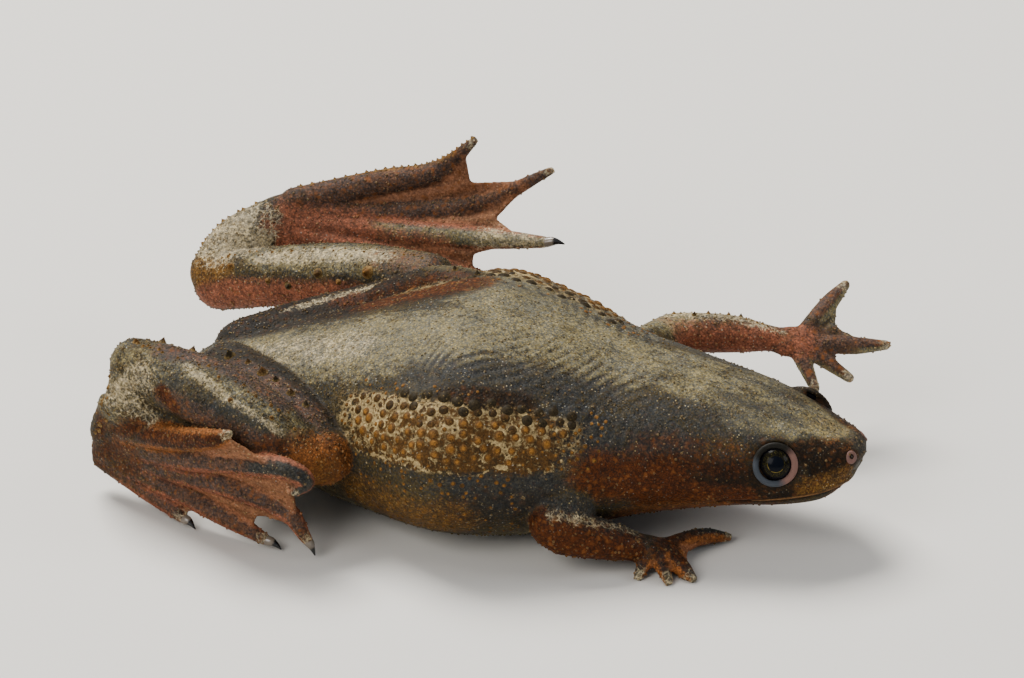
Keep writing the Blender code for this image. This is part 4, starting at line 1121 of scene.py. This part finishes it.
cover = {pigment: np.zeros(len(points)) for pigment in PIGMENTS}
for pigment, region, start, end, radius, most in PAINT:
    place = folded(points) if region == "body" else points
    laid = most * stroke(place, start, end, radius) * weight["body" if region in ("left", "right") else region]
    cover[pigment] = np.maximum(cover[pigment], laid)
for name, pigments in DIGIT_PAINT.items():
    for i, (edge, back) in enumerate(pigments):
        centres, runs, across, deep, halves = axes[f"{name}_digit_{i}"]
        gaps = form_gaps(axes[f"{name}_digit_{i}"])
        k = gaps.argmin(1)
        laid = (1 - smoothstep(0.1, 0.35, gaps.min(1))) * smoothstep(0.0, 0.3, k / len(centres)) * weight[name]
        sideways = np.abs(np.einsum("ij,ij->i", points - centres[k], across[k])) / halves[k, 0]
        on_back = 1 - smoothstep(0.4, 0.95, sideways)
        cover[back] = np.maximum(cover[back], laid * on_back)
        cover[edge] = np.maximum(cover[edge], laid * (1 - on_back))
        tip = stroke(points, centres[-1], centres[-1], TIP_REACH)
        cover["ivory"] = np.maximum(cover["ivory"], TIP_COVER * tip * weight[name])
sideways = np.degrees(np.arctan2((points[:, 2] - middle) / half, np.abs(points[:, 1]) / wide))
sideways -= np.where(points[:, 1] > 0, LEFT_RISE, 0.0)
cover["net"] = (weight["body"] * smoothstep(*NET_TURNS[:2], sideways)
                * (1 - smoothstep(*NET_TURNS[2:], sideways)) * smoothstep(*NET_LENGTH[:2], points[:, 0])
                * (1 - smoothstep(*NET_LENGTH[2:], points[:, 0])))
cover["net"] *= np.where(points[:, 1] > 0, LEFT_NET, 1.0)
base, above, behind, most = LATTICE
cover["lattice"] = np.clip(base + above * smoothstep(*LATTICE_TURN, sideways)
                           + behind * (1 - smoothstep(*LATTICE_LENGTH, points[:, 0])), 0.0, most)
fringe_turn = FRINGE_TURN + 2.5 * np.sin(1.1 * points[:, 0]) + 1.5 * np.sin(2.9 * points[:, 0] + 1.0)
cover["fringe"] = (np.exp(-((sideways - fringe_turn) / FRINGE_WIDTH) ** 2) * weight["body"]
                   * smoothstep(9.5, 11.0, points[:, 0]) * (1 - smoothstep(18.0, 20.0, points[:, 0])))
cover["web"] = (1 - smoothstep(0.2, 0.4, web_gap)) * smoothstep(-0.12, 0.2, digit_gap)
cover["pale"] = np.maximum(cover["pale"], 0.8 * cover["web"] * weight["hand_left"])
cover["web"] *= 1 - 0.8 * weight["hand_left"]
wart_gap = np.full(len(points), 1.0)
for place, facing, size, tone in warts:
    near = np.flatnonzero(np.abs(points[:, 0] - place[0]) < 1.5)
    wart_gap[near] = np.minimum(wart_gap[near], np.linalg.norm(points[near] - place, axis=1) - size[0])
cover["wart_gap"] = np.clip(wart_gap, 0.0, 1.0)
# Painted shade: the skin is darkened in its hollows, found from how far each point lies below its neighbours,
# and along the mouth's groove.
inward = spread(edges, len(points), points) - points
for k in range(2):
    inward = 0.5 * inward + 0.5 * spread(edges, len(points), inward)
hollow = np.einsum("ij,ij->i", inward, read(skin_mesh.vertices, "normal"))
cover["crease"] = np.maximum(smoothstep(0.002, 0.012, hollow), mouth_at(points))
cover["wrinkle"] = wrinkle_at(points)
rough = dict(body=0.35, leg_right=1.0, foot_right=0.8, leg_left=0.9, foot_left=0.6, arm_right=0.9,
             hand_right=0.5, arm_left=0.7, hand_left=0.4)
eye_gap = np.min([np.linalg.norm(points - np.array(on_side(EYE_CENTRE, side)), axis=1)
                  for side in ("left", "right")], axis=0)
cover["rough"] = sum(rough[region] * weight[region] for region in REGIONS) * smoothstep(1.5, 2.2, eye_gap)
cover["rough"] *= (1 - 0.7 * cover["web"]) * (1 - cover["net"])
for name, values in cover.items():
    put_mark(skin_mesh, name, values.astype(float))

HIDE_OLIVE = (0.056, 0.040, 0.015)
HIDE_GREY = (0.030, 0.030, 0.026)
PIGMENT_COLOURS = {  # the two tints that each is speckled with
    # pale is the skin's own pale colour, and along the back also a painted sheen
    "pale": ((0.200, 0.162, 0.074), (0.105, 0.100, 0.076)),
    "slate": ((0.042, 0.039, 0.032), (0.022, 0.024, 0.025)),
    "umber": ((0.019, 0.0095, 0.0035), (0.007, 0.005, 0.0035)),
    "mauve": ((0.105, 0.052, 0.030), (0.052, 0.037, 0.032)),
    "rust": ((0.075, 0.0205, 0.0046), (0.036, 0.0118, 0.0042)),
    "tan": ((0.245, 0.082, 0.020), (0.125, 0.047, 0.014)),
    "rose": ((0.245, 0.080, 0.040), (0.150, 0.058, 0.034)),
    "amber": ((0.150, 0.072, 0.014), (0.060, 0.028, 0.008)),
    "ivory": ((0.420, 0.340, 0.195), (0.240, 0.205, 0.140)),
}
WEB_COLOUR = (0.265, 0.108, 0.050)
NET_COLOUR = (0.34, 0.25, 0.115)
NET_GROUND = ((0.105, 0.050, 0.013), (0.036, 0.021, 0.008))
SPOT_COLOUR = (0.170, 0.055, 0.012)
GLINT_COLOURS = ((0.46, 0.34, 0.13), (0.34, 0.33, 0.29))
# colour of the painted shade in hollows and in the mouth's groove
HOLLOW_SHADE_COLOUR = (0.010, 0.005, 0.0025)
GRIT_COLOUR = (0.30, 0.20, 0.085)
LINE_SHARE = {"pale": 0.5, "slate": -0.5}


hide_paint, tree, shader = finish_of("hide_paint")
grain = grain_in(tree)
hue = between(tree, wobble(tree, grain, grain["Speck Hue"], blotch=1.4, fine=0.6), 0.15, 0.85)
colour = over(tree, hue, HIDE_OLIVE, HIDE_GREY)
for i, (pigment, tints) in enumerate(PIGMENT_COLOURS.items()):
    name = ("grain", "grain_two")[i % 2]
    streak = {"streak": 2.0, "blotch_two": 0.6} if pigment in ("pale", "slate") else {}
    shaken = wobble(tree, grain, mark(tree, pigment), granule_tone=0.2, speck=0.25, fine=0.5,
                    **{name: 1.0}, **streak)
    if pigment in LINE_SHARE:
        shaken = calc(tree, "ADD", shaken, calc(tree, "MULTIPLY", mark(tree, "wrinkle"), LINE_SHARE[pigment]))
    if pigment == "ivory":
        hairs = between(tree, grain["Cracks"], 0.1, 0.03)
        shaken = calc(tree, "ADD", calc(tree, "SUBTRACT", shaken, 0.3), calc(tree, "MULTIPLY", hairs, 0.55))
    share = calc(tree, "MULTIPLY", between(tree, shaken, -0.05, 1.0),
                 between(tree, mark(tree, pigment), 0.0, 0.35))
    colour = over(tree, share, colour, over(tree, hue, *tints))
veined = between(tree, wobble(tree, grain, mark(tree, "web"), fine=0.9, grain=0.9), 0.2, 0.8)
colour = over(tree, calc(tree, "MULTIPLY", veined, 0.65), colour, WEB_COLOUR)
ground = over(tree, between(tree, wobble(tree, grain, 0.5, grain_two=1.5, speck=0.5), 0.3, 0.7), *NET_GROUND)
thread = between(tree, wobble(tree, grain, mark(tree, "wart_gap"), fine=0.25, grain=0.3), 0.11, 0.02)
thread = calc(tree, "MAXIMUM", thread,
              between(tree, wobble(tree, grain, grain["Cracks"], fine=0.1), 0.13, 0.04))
lattice = wobble(tree, grain, mark(tree, "lattice"), grain_two=2.2, blotch=1.2, fine=0.8)
thread = calc(tree, "MULTIPLY", thread, between(tree, lattice, 0.3, 0.7))
border = wobble(tree, grain, mark(tree, "fringe"), fine=1.2, grain=2.2, blotch_two=1.2)
border = between(tree, border, 0.7, 0.95)
thread = calc(tree, "MAXIMUM", thread, border)
net = wobble(tree, grain, mark(tree, "net"), grain=1.3, blotch=0.8, granule_tone=0.4, speck=0.4)
net = between(tree, net, 0.15, 0.7)
net = calc(tree, "MULTIPLY", net, between(tree, mark(tree, "net"), 0.0, 0.15))
colour = over(tree, net, colour, ground)
thread = calc(tree, "MULTIPLY", thread, between(tree, mark(tree, "net"), 0.05, 0.4))
colour = over(tree, thread, colour, NET_COLOUR)
mottle = wobble(tree, grain, 1.0, granule_tone=0.4, speck=0.55, grain_two=1.1, blotch_two=0.7)
mottle = calc(tree, "MULTIPLY", mottle,
              calc(tree, "ADD", calc(tree, "MULTIPLY", grain["Granules"], 0.35), 0.78))
grey = node(tree, "ShaderNodeCombineColor", {0: mottle, 1: mottle, 2: mottle}).outputs[0]
colour = over(tree, 1.0, colour, grey, "MULTIPLY")
warm = calc(tree, "MAXIMUM", mark(tree, "rust"), calc(tree, "MULTIPLY", mark(tree, "umber"), 0.3))
warm = calc(tree, "MAXIMUM", warm, mark(tree, "mauve"))
spots = calc(tree, "MULTIPLY", grain["Spots"], calc(tree, "ADD", calc(tree, "MULTIPLY", warm, 0.7), 0.06))
colour = over(tree, spots, colour, SPOT_COLOUR)
glints = calc(tree, "MULTIPLY", grain["Glints"], between(tree, grain["Blotch Two"], 0.3, 0.7))
dark = calc(tree, "MAXIMUM", warm, mark(tree, "umber"))
glints = calc(tree, "MULTIPLY", glints, calc(tree, "SUBTRACT", 1.0, calc(tree, "MULTIPLY", dark, 0.7)))
colour = over(tree, calc(tree, "MULTIPLY", glints, 0.85), colour, over(tree, hue, *GLINT_COLOURS))
colour = over(tree, calc(tree, "MULTIPLY", mark(tree, "grit"), 0.3), colour, GRIT_COLOUR)
# painted shade in the hollows and along the mouth's groove
colour = over(tree, calc(tree, "MULTIPLY", mark(tree, "crease"), 0.7), colour, HOLLOW_SHADE_COLOUR)
tree.links.new(colour, shader.inputs["Base Color"])
height = calc(tree, "ADD", calc(tree, "MULTIPLY", grain["Granules"], 0.7),
              calc(tree, "MULTIPLY", grain["Fine"], 0.5))
wet(tree, shader, height, 0.04)
skin_mesh.materials.clear()
skin_mesh.materials.append(hide_paint)

# Granules: fine horny grains scattered over the skin, thickest on the legs and thin on the head and
# back. They are cast apart, pressed into the skin and painted with it.
GRANULES_PER_MM2 = 7.5
GRANULE_RADII = (0.035, 0.085)
GRANULE_SEED = 11


def granule_tree():
    """Geometry Nodes: small horny granules scattered over the skin, thickest where it is marked rough."""
    tree = bpy.data.node_groups.new("granules_on_skin", "GeometryNodeTree")
    for name, kind in (("Geometry", "NodeSocketGeometry"), ("Density", "NodeSocketFloat"),
                       ("Smallest", "NodeSocketFloat"), ("Largest", "NodeSocketFloat"),
                       ("Seed", "NodeSocketInt"), ("Finish", "NodeSocketMaterial")):
        tree.interface.new_socket(name, in_out="INPUT", socket_type=kind)
    tree.interface.new_socket("Geometry", in_out="OUTPUT", socket_type="NodeSocketGeometry")
    inside, outside = tree.nodes.new("NodeGroupInput"), tree.nodes.new("NodeGroupOutput")
    rough = node(tree, "GeometryNodeInputNamedAttribute", {"Name": "rough"}, data_type="FLOAT").outputs[0]
    spots = node(tree, "GeometryNodeDistributePointsOnFaces", {
        "Mesh": inside.outputs["Geometry"], "Density": calc(tree, "MULTIPLY", rough, inside.outputs["Density"]),
        "Seed": inside.outputs["Seed"]}, distribute_method="RANDOM")
    draw = node(tree, "FunctionNodeRandomValue", {"Seed": inside.outputs["Seed"]}, data_type="FLOAT").outputs[1]
    reach = calc(tree, "SUBTRACT", inside.outputs["Largest"], inside.outputs["Smallest"])
    size = calc(tree, "MULTIPLY_ADD", draw, reach, inside.outputs["Smallest"])
    marked = node(tree, "GeometryNodeStoreNamedAttribute", {
        "Geometry": spots.outputs["Points"], "Name": "grit", "Value": draw}, data_type="FLOAT",
        domain="POINT").outputs[0]
    grain = node(tree, "GeometryNodeMeshIcoSphere", {"Radius": 1.0, "Subdivisions": 1}).outputs["Mesh"]
    placed = node(tree, "GeometryNodeInstanceOnPoints", {
        "Points": marked, "Instance": grain, "Rotation": spots.outputs["Rotation"], "Scale": size}).outputs[0]
    solid = node(tree, "GeometryNodeRealizeInstances", {"Geometry": placed}).outputs[0]
    finished = node(tree, "GeometryNodeSetMaterial", {"Geometry": solid, "Material": inside.outputs["Finish"]})
    tree.links.new(finished.outputs[0], outside.inputs[0])
    return tree


granules = scratch(skin_mesh.copy())
granules.name = "skin_granules"
grow = granules.modifiers.new("grow", "NODES")
grow.node_group = granule_tree()
fill_in(grow, Density=GRANULES_PER_MM2, Smallest=GRANULE_RADII[0], Largest=GRANULE_RADII[1], Seed=GRANULE_SEED,
        Finish=hide_paint)
made = plain_copy(granules, "skin_granules")
granules.modifiers.clear()
granules.data = made
settle(granules, "body_skin")
settle(skin, "body_skin", *[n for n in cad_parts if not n.startswith(("eye", "claw"))])

# Eyes: dark glass balls with a painted pupil and a thin broken gold ring about it, each seated in a
# smooth fleshy ring that is pinkish in front and grey behind and below, with painted shade on its top.
EYE_SEGMENTS = 96
GAZE = (0.27, -0.87, 0.42)
PUPIL_RADIUS = 0.38
GOLD_RING = (0.415, 0.465)
IRIS_RADIUS = 0.76
RING_INNER = 0.82
RING_WIDTHS = (0.32, 0.36)
RING_OUTWARD = (0.21, 0.92, 0.33)
RING_HIGH_SIDE = (-0.85, 0.0, -0.52)
RING_RISE = 0.3
RING_LEAN = (1.0, 0.0, -0.15)
RING_TAPER = 2.0
RING_SIDES = 12
RING_STEPS = 96
RING_LIFT = 0.5
RING_DEPTH = 0.12
PUPIL_BLACK = (0.003, 0.004, 0.007)
IRIS_DARK = (0.004, 0.0035, 0.003)
IRIS_FLECK = (0.05, 0.042, 0.008)
EYE_GOLD = (0.18, 0.13, 0.022)
EYE_EDGE = (0.004, 0.004, 0.006)
RING_PINK = (0.155, 0.085, 0.070)
RING_GREY = (0.044, 0.051, 0.061)
RING_SHADE = (0.011, 0.010, 0.008)

eye_glass, tree, shader = finish_of("eye_glass")
grain = grain_in(tree, 0.35)
off_axis = wobble(tree, grain, mark(tree, "off_axis"), grain=0.05)
colour = over(tree, between(tree, grain["Fine"], 0.52, 0.66), IRIS_DARK, IRIS_FLECK)
colour = over(tree, between(tree, off_axis, IRIS_RADIUS - 0.12, IRIS_RADIUS), colour, EYE_EDGE)
gold = calc(tree, "MULTIPLY", between(tree, off_axis, GOLD_RING[0], GOLD_RING[0] + 0.02),
            between(tree, off_axis, GOLD_RING[1], GOLD_RING[1] - 0.03))
gold = calc(tree, "MULTIPLY", gold, between(tree, grain["Grain Two"], 0.42, 0.52))
gold = calc(tree, "MULTIPLY", gold, between(tree, mark(tree, "below"), -0.05, 0.15))
colour = over(tree, gold, colour, EYE_GOLD)
colour = over(tree, between(tree, off_axis, GOLD_RING[0] + 0.01, PUPIL_RADIUS), colour, PUPIL_BLACK)
tree.links.new(colour, shader.inputs["Base Color"])
shader.inputs["Roughness"].default_value = 0.2
shader.inputs["Specular IOR Level"].default_value = 0.04
shader.inputs["Coat Weight"].default_value = 0.035
shader.inputs["Coat Roughness"].default_value = 0.05

ring_flesh, tree, shader = finish_of("ring_flesh")
grain = grain_in(tree, 0.6)
pink = wobble(tree, grain, mark(tree, "pink"), grain=0.4)
# painted shade: the ring darkens where it faces upward
colour = over(tree, between(tree, mark(tree, "raised"), 0.0, 0.5), RING_GREY, RING_SHADE)
colour = over(tree, between(tree, pink, 0.1, 0.6), colour, RING_PINK)
tree.links.new(colour, shader.inputs["Base Color"])
wet(tree, shader, grain["Fine"], 0.01, roughness=0.5)


def ring_mesh(name, centre, outward, lean, inner, widths, depth, least_pink=0.0, high_side=(0.0, 0.0, 0.0)):
    """A fleshy ring about an opening, thickest and pinkest on the side that it leans to."""
    outward = Vector(outward).normalized()
    first = (Vector(lean) - outward * outward.dot(Vector(lean))).normalized()
    second = outward.cross(first)
    rings, pinks, raised = [], [], []
    for i in range(RING_STEPS):
        turn = 2 * math.pi * i / RING_STEPS
        radial = first * math.cos(turn) + second * math.sin(turn)
        toward = max(math.cos(turn), 0.0) ** RING_TAPER
        half_width = (widths[0] + (widths[1] - widths[0]) * toward) / 2
        rise = RING_RISE * max(radial.dot(Vector(high_side)), 0.0)
        middle_of_ring = Vector(centre) + radial * (inner + half_width) + outward * rise
        rings.append([middle_of_ring + radial * (half_width * math.cos(a)) + outward * (depth * math.sin(a))
                      for a in np.linspace(0, 2 * math.pi, RING_SIDES, endpoint=False)])
        pinks += [max(toward, least_pink)] * RING_SIDES
        raised += [radial.z] * RING_SIDES
    faces = []
    for i in range(RING_STEPS):
        for k in range(RING_SIDES):
            here, there = i * RING_SIDES, (i + 1) % RING_STEPS * RING_SIDES
            after = (k + 1) % RING_SIDES
            faces.append((here + k, there + k, there + after, here + after))
    mesh = faced_mesh(name, [p for ring in rings for p in ring], faces)
    put_mark(mesh, "pink", pinks)
    put_mark(mesh, "raised", raised)
    return scratch(mesh)


def mirrored(vector, side):
    """A direction given for the right, on the wanted side."""
    return Vector((vector[0], vector[1] if side == "right" else -vector[1], vector[2]))


for side in ("left", "right"):
    centre = on_side(EYE_CENTRE, side)
    gaze = mirrored(GAZE, side).normalized()
    eye = ball("eyeball_" + side, centre, EYE_RADIUS, EYE_SEGMENTS)
    places = read(eye.data.vertices, "co") - np.array(centre)
    off_axis = np.linalg.norm(np.cross(places, np.array(gaze)), axis=1)
    off_axis = np.where(places @ np.array(gaze) > 0, off_axis, EYE_RADIUS)
    put_mark(eye.data, "off_axis", off_axis)
    below = -(places - np.array(gaze) * EYE_RADIUS)[:, 2]
    put_mark(eye.data, "below", below)
    eye.data.materials.append(eye_glass)
    settle(eye, "eye", "eye_" + side)
    outward = on_side(RING_OUTWARD, side).normalized()
    ring = ring_mesh("eye_ring_" + side, centre + outward * RING_LIFT, outward, mirrored(RING_LEAN, side),
                     RING_INNER, RING_WIDTHS, RING_DEPTH, high_side=mirrored(RING_HIGH_SIDE, side))
    ring.data.materials.append(ring_flesh)
    settle(ring, "body_skin")

# Nostrils and lips: a small raised whorl of bare pink skin about each nostril with a black ball sunk in
# it as painted shade for the opening, and the thin pale edge of the upper lip, all set into the snout.
NOSTRIL = (34.3, -1.15, 5.55)
NOSTRIL_OUTWARD = (0.68, -0.49, 0.54)
NOSTRIL_INNER = 0.12
NOSTRIL_WIDTHS = (0.2, 0.28)
NOSTRIL_DEPTH = 0.09
NOSTRIL_LEAN = (0.3, -0.6, 0.1)
PIT_RADIUS = 0.13
PIT_SINK = 0.08
NOSTRIL_SHADE_BLACK = (0.01, 0.006, 0.004)
EDGE_RADIUS = 0.055
EDGE_DROP = 0.17
EDGE_COLOUR = (0.20, 0.10, 0.04)

# painted shade: a near black finish for the ball that stands for the nostril's dark opening
nostril_shade_paint, tree, shader = finish_of("nostril_shade_paint")
grain = grain_in(tree, 0.5)
colour = over(tree, grain["Fine"], NOSTRIL_SHADE_BLACK, tuple(3 * c for c in NOSTRIL_SHADE_BLACK))
tree.links.new(colour, shader.inputs["Base Color"])
shader.inputs["Roughness"].default_value = 0.35
for side in ("left", "right"):
    centre, outward = mirrored(NOSTRIL, side), mirrored(NOSTRIL_OUTWARD, side).normalized()
    whorl = ring_mesh("nostril_" + side, centre, outward, mirrored(NOSTRIL_LEAN, side), NOSTRIL_INNER,
                      NOSTRIL_WIDTHS, NOSTRIL_DEPTH, least_pink=0.5)
    whorl.data.materials.append(ring_flesh)
    settle(whorl, "body_skin")
    pit = ball("nostril_pit_" + side, centre - outward * PIT_SINK, PIT_RADIUS, 24)
    pit.data.materials.append(nostril_shade_paint)
    settle(pit, "body_skin")

lip_edge_paint, tree, shader = finish_of("lip_edge_paint")
grain = grain_in(tree, 0.7)
colour = over(tree, between(tree, grain["Grain"], 0.35, 0.65), tuple(0.4 * c for c in EDGE_COLOUR), EDGE_COLOUR)
tree.links.new(colour, shader.inputs["Base Color"])
wet(tree, shader, grain["Fine"], 0.02)
edge_line = [*right_lip[2:], nose_lip, *left_lip[:-2]]
edge_ends = np.minimum(np.arange(len(edge_line)), np.arange(len(edge_line))[::-1])
edge_radii = EDGE_RADIUS * np.minimum(1.0, 0.2 + 0.4 * edge_ends)
edge_line = [(x, y, z - EDGE_DROP, size, size) for (x, y, z, _, _), size in zip(edge_line, edge_radii)]
lip_edge = round_form("lip_edge", edge_line, (0.0, 0.0, 1.0), sides=10, steps=6)[0]
lip_edge.data.materials.append(lip_edge_paint)
settle(lip_edge, "body_skin")

# Claws: a short curved cone of black horn on each of the three inner toes, pale where it leaves the
# skin, its root sunk in the toe.
CLAW_ROOT = 0.1
CLAW_RADII = (0.27, 0.24, 0.14, 0.04)
CLAW_BEND = 0.1
CLAW_REACH = 1.35
CLAW_BLACK = (0.006, 0.006, 0.006)
CLAW_BASE = (0.16, 0.13, 0.10)

claw_horn, tree, shader = finish_of("claw_horn")
grain = grain_in(tree, 0.4)
along = wobble(tree, grain, mark(tree, "along"), grain=0.2)
colour = over(tree, between(tree, along, 0.38, 0.52), CLAW_BASE, CLAW_BLACK)
tree.links.new(colour, shader.inputs["Base Color"])
shader.inputs["Roughness"].default_value = 0.25
shader.inputs["Coat Weight"].default_value = 0.5
for name in [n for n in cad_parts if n.startswith("claw")]:
    side, number = name.split("_")[1:]
    low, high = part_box(name)
    centres = axes[f"foot_{side}_digit_{int(number) - 1}"][0]
    root = Vector(centres[-1])
    middle_of_claw = ((low + high) / 2 - own_origin) / MM
    way = middle_of_claw - root
    tip = root + way * CLAW_REACH
    root = root + way.normalized() * CLAW_ROOT
    bend = Vector((0.0, 0.0, CLAW_BEND))
    stations = [(*(root.lerp(tip, share) + bend * math.sin(math.pi * share)), radius, radius)
                for share, radius in zip(np.linspace(0, 1, len(CLAW_RADII)), CLAW_RADII)]
    horn = round_form(name + "_horn", stations, (0.0, 0.0, 1.0), sides=24, steps=6)[0]
    places = read(horn.data.vertices, "co") - np.array(root)
    reach = places @ np.array((tip - root).normalized()) / (tip - root).length
    put_mark(horn.data, "along", reach)
    horn.data.materials.append(claw_horn)
    settle(horn, "claw", name)
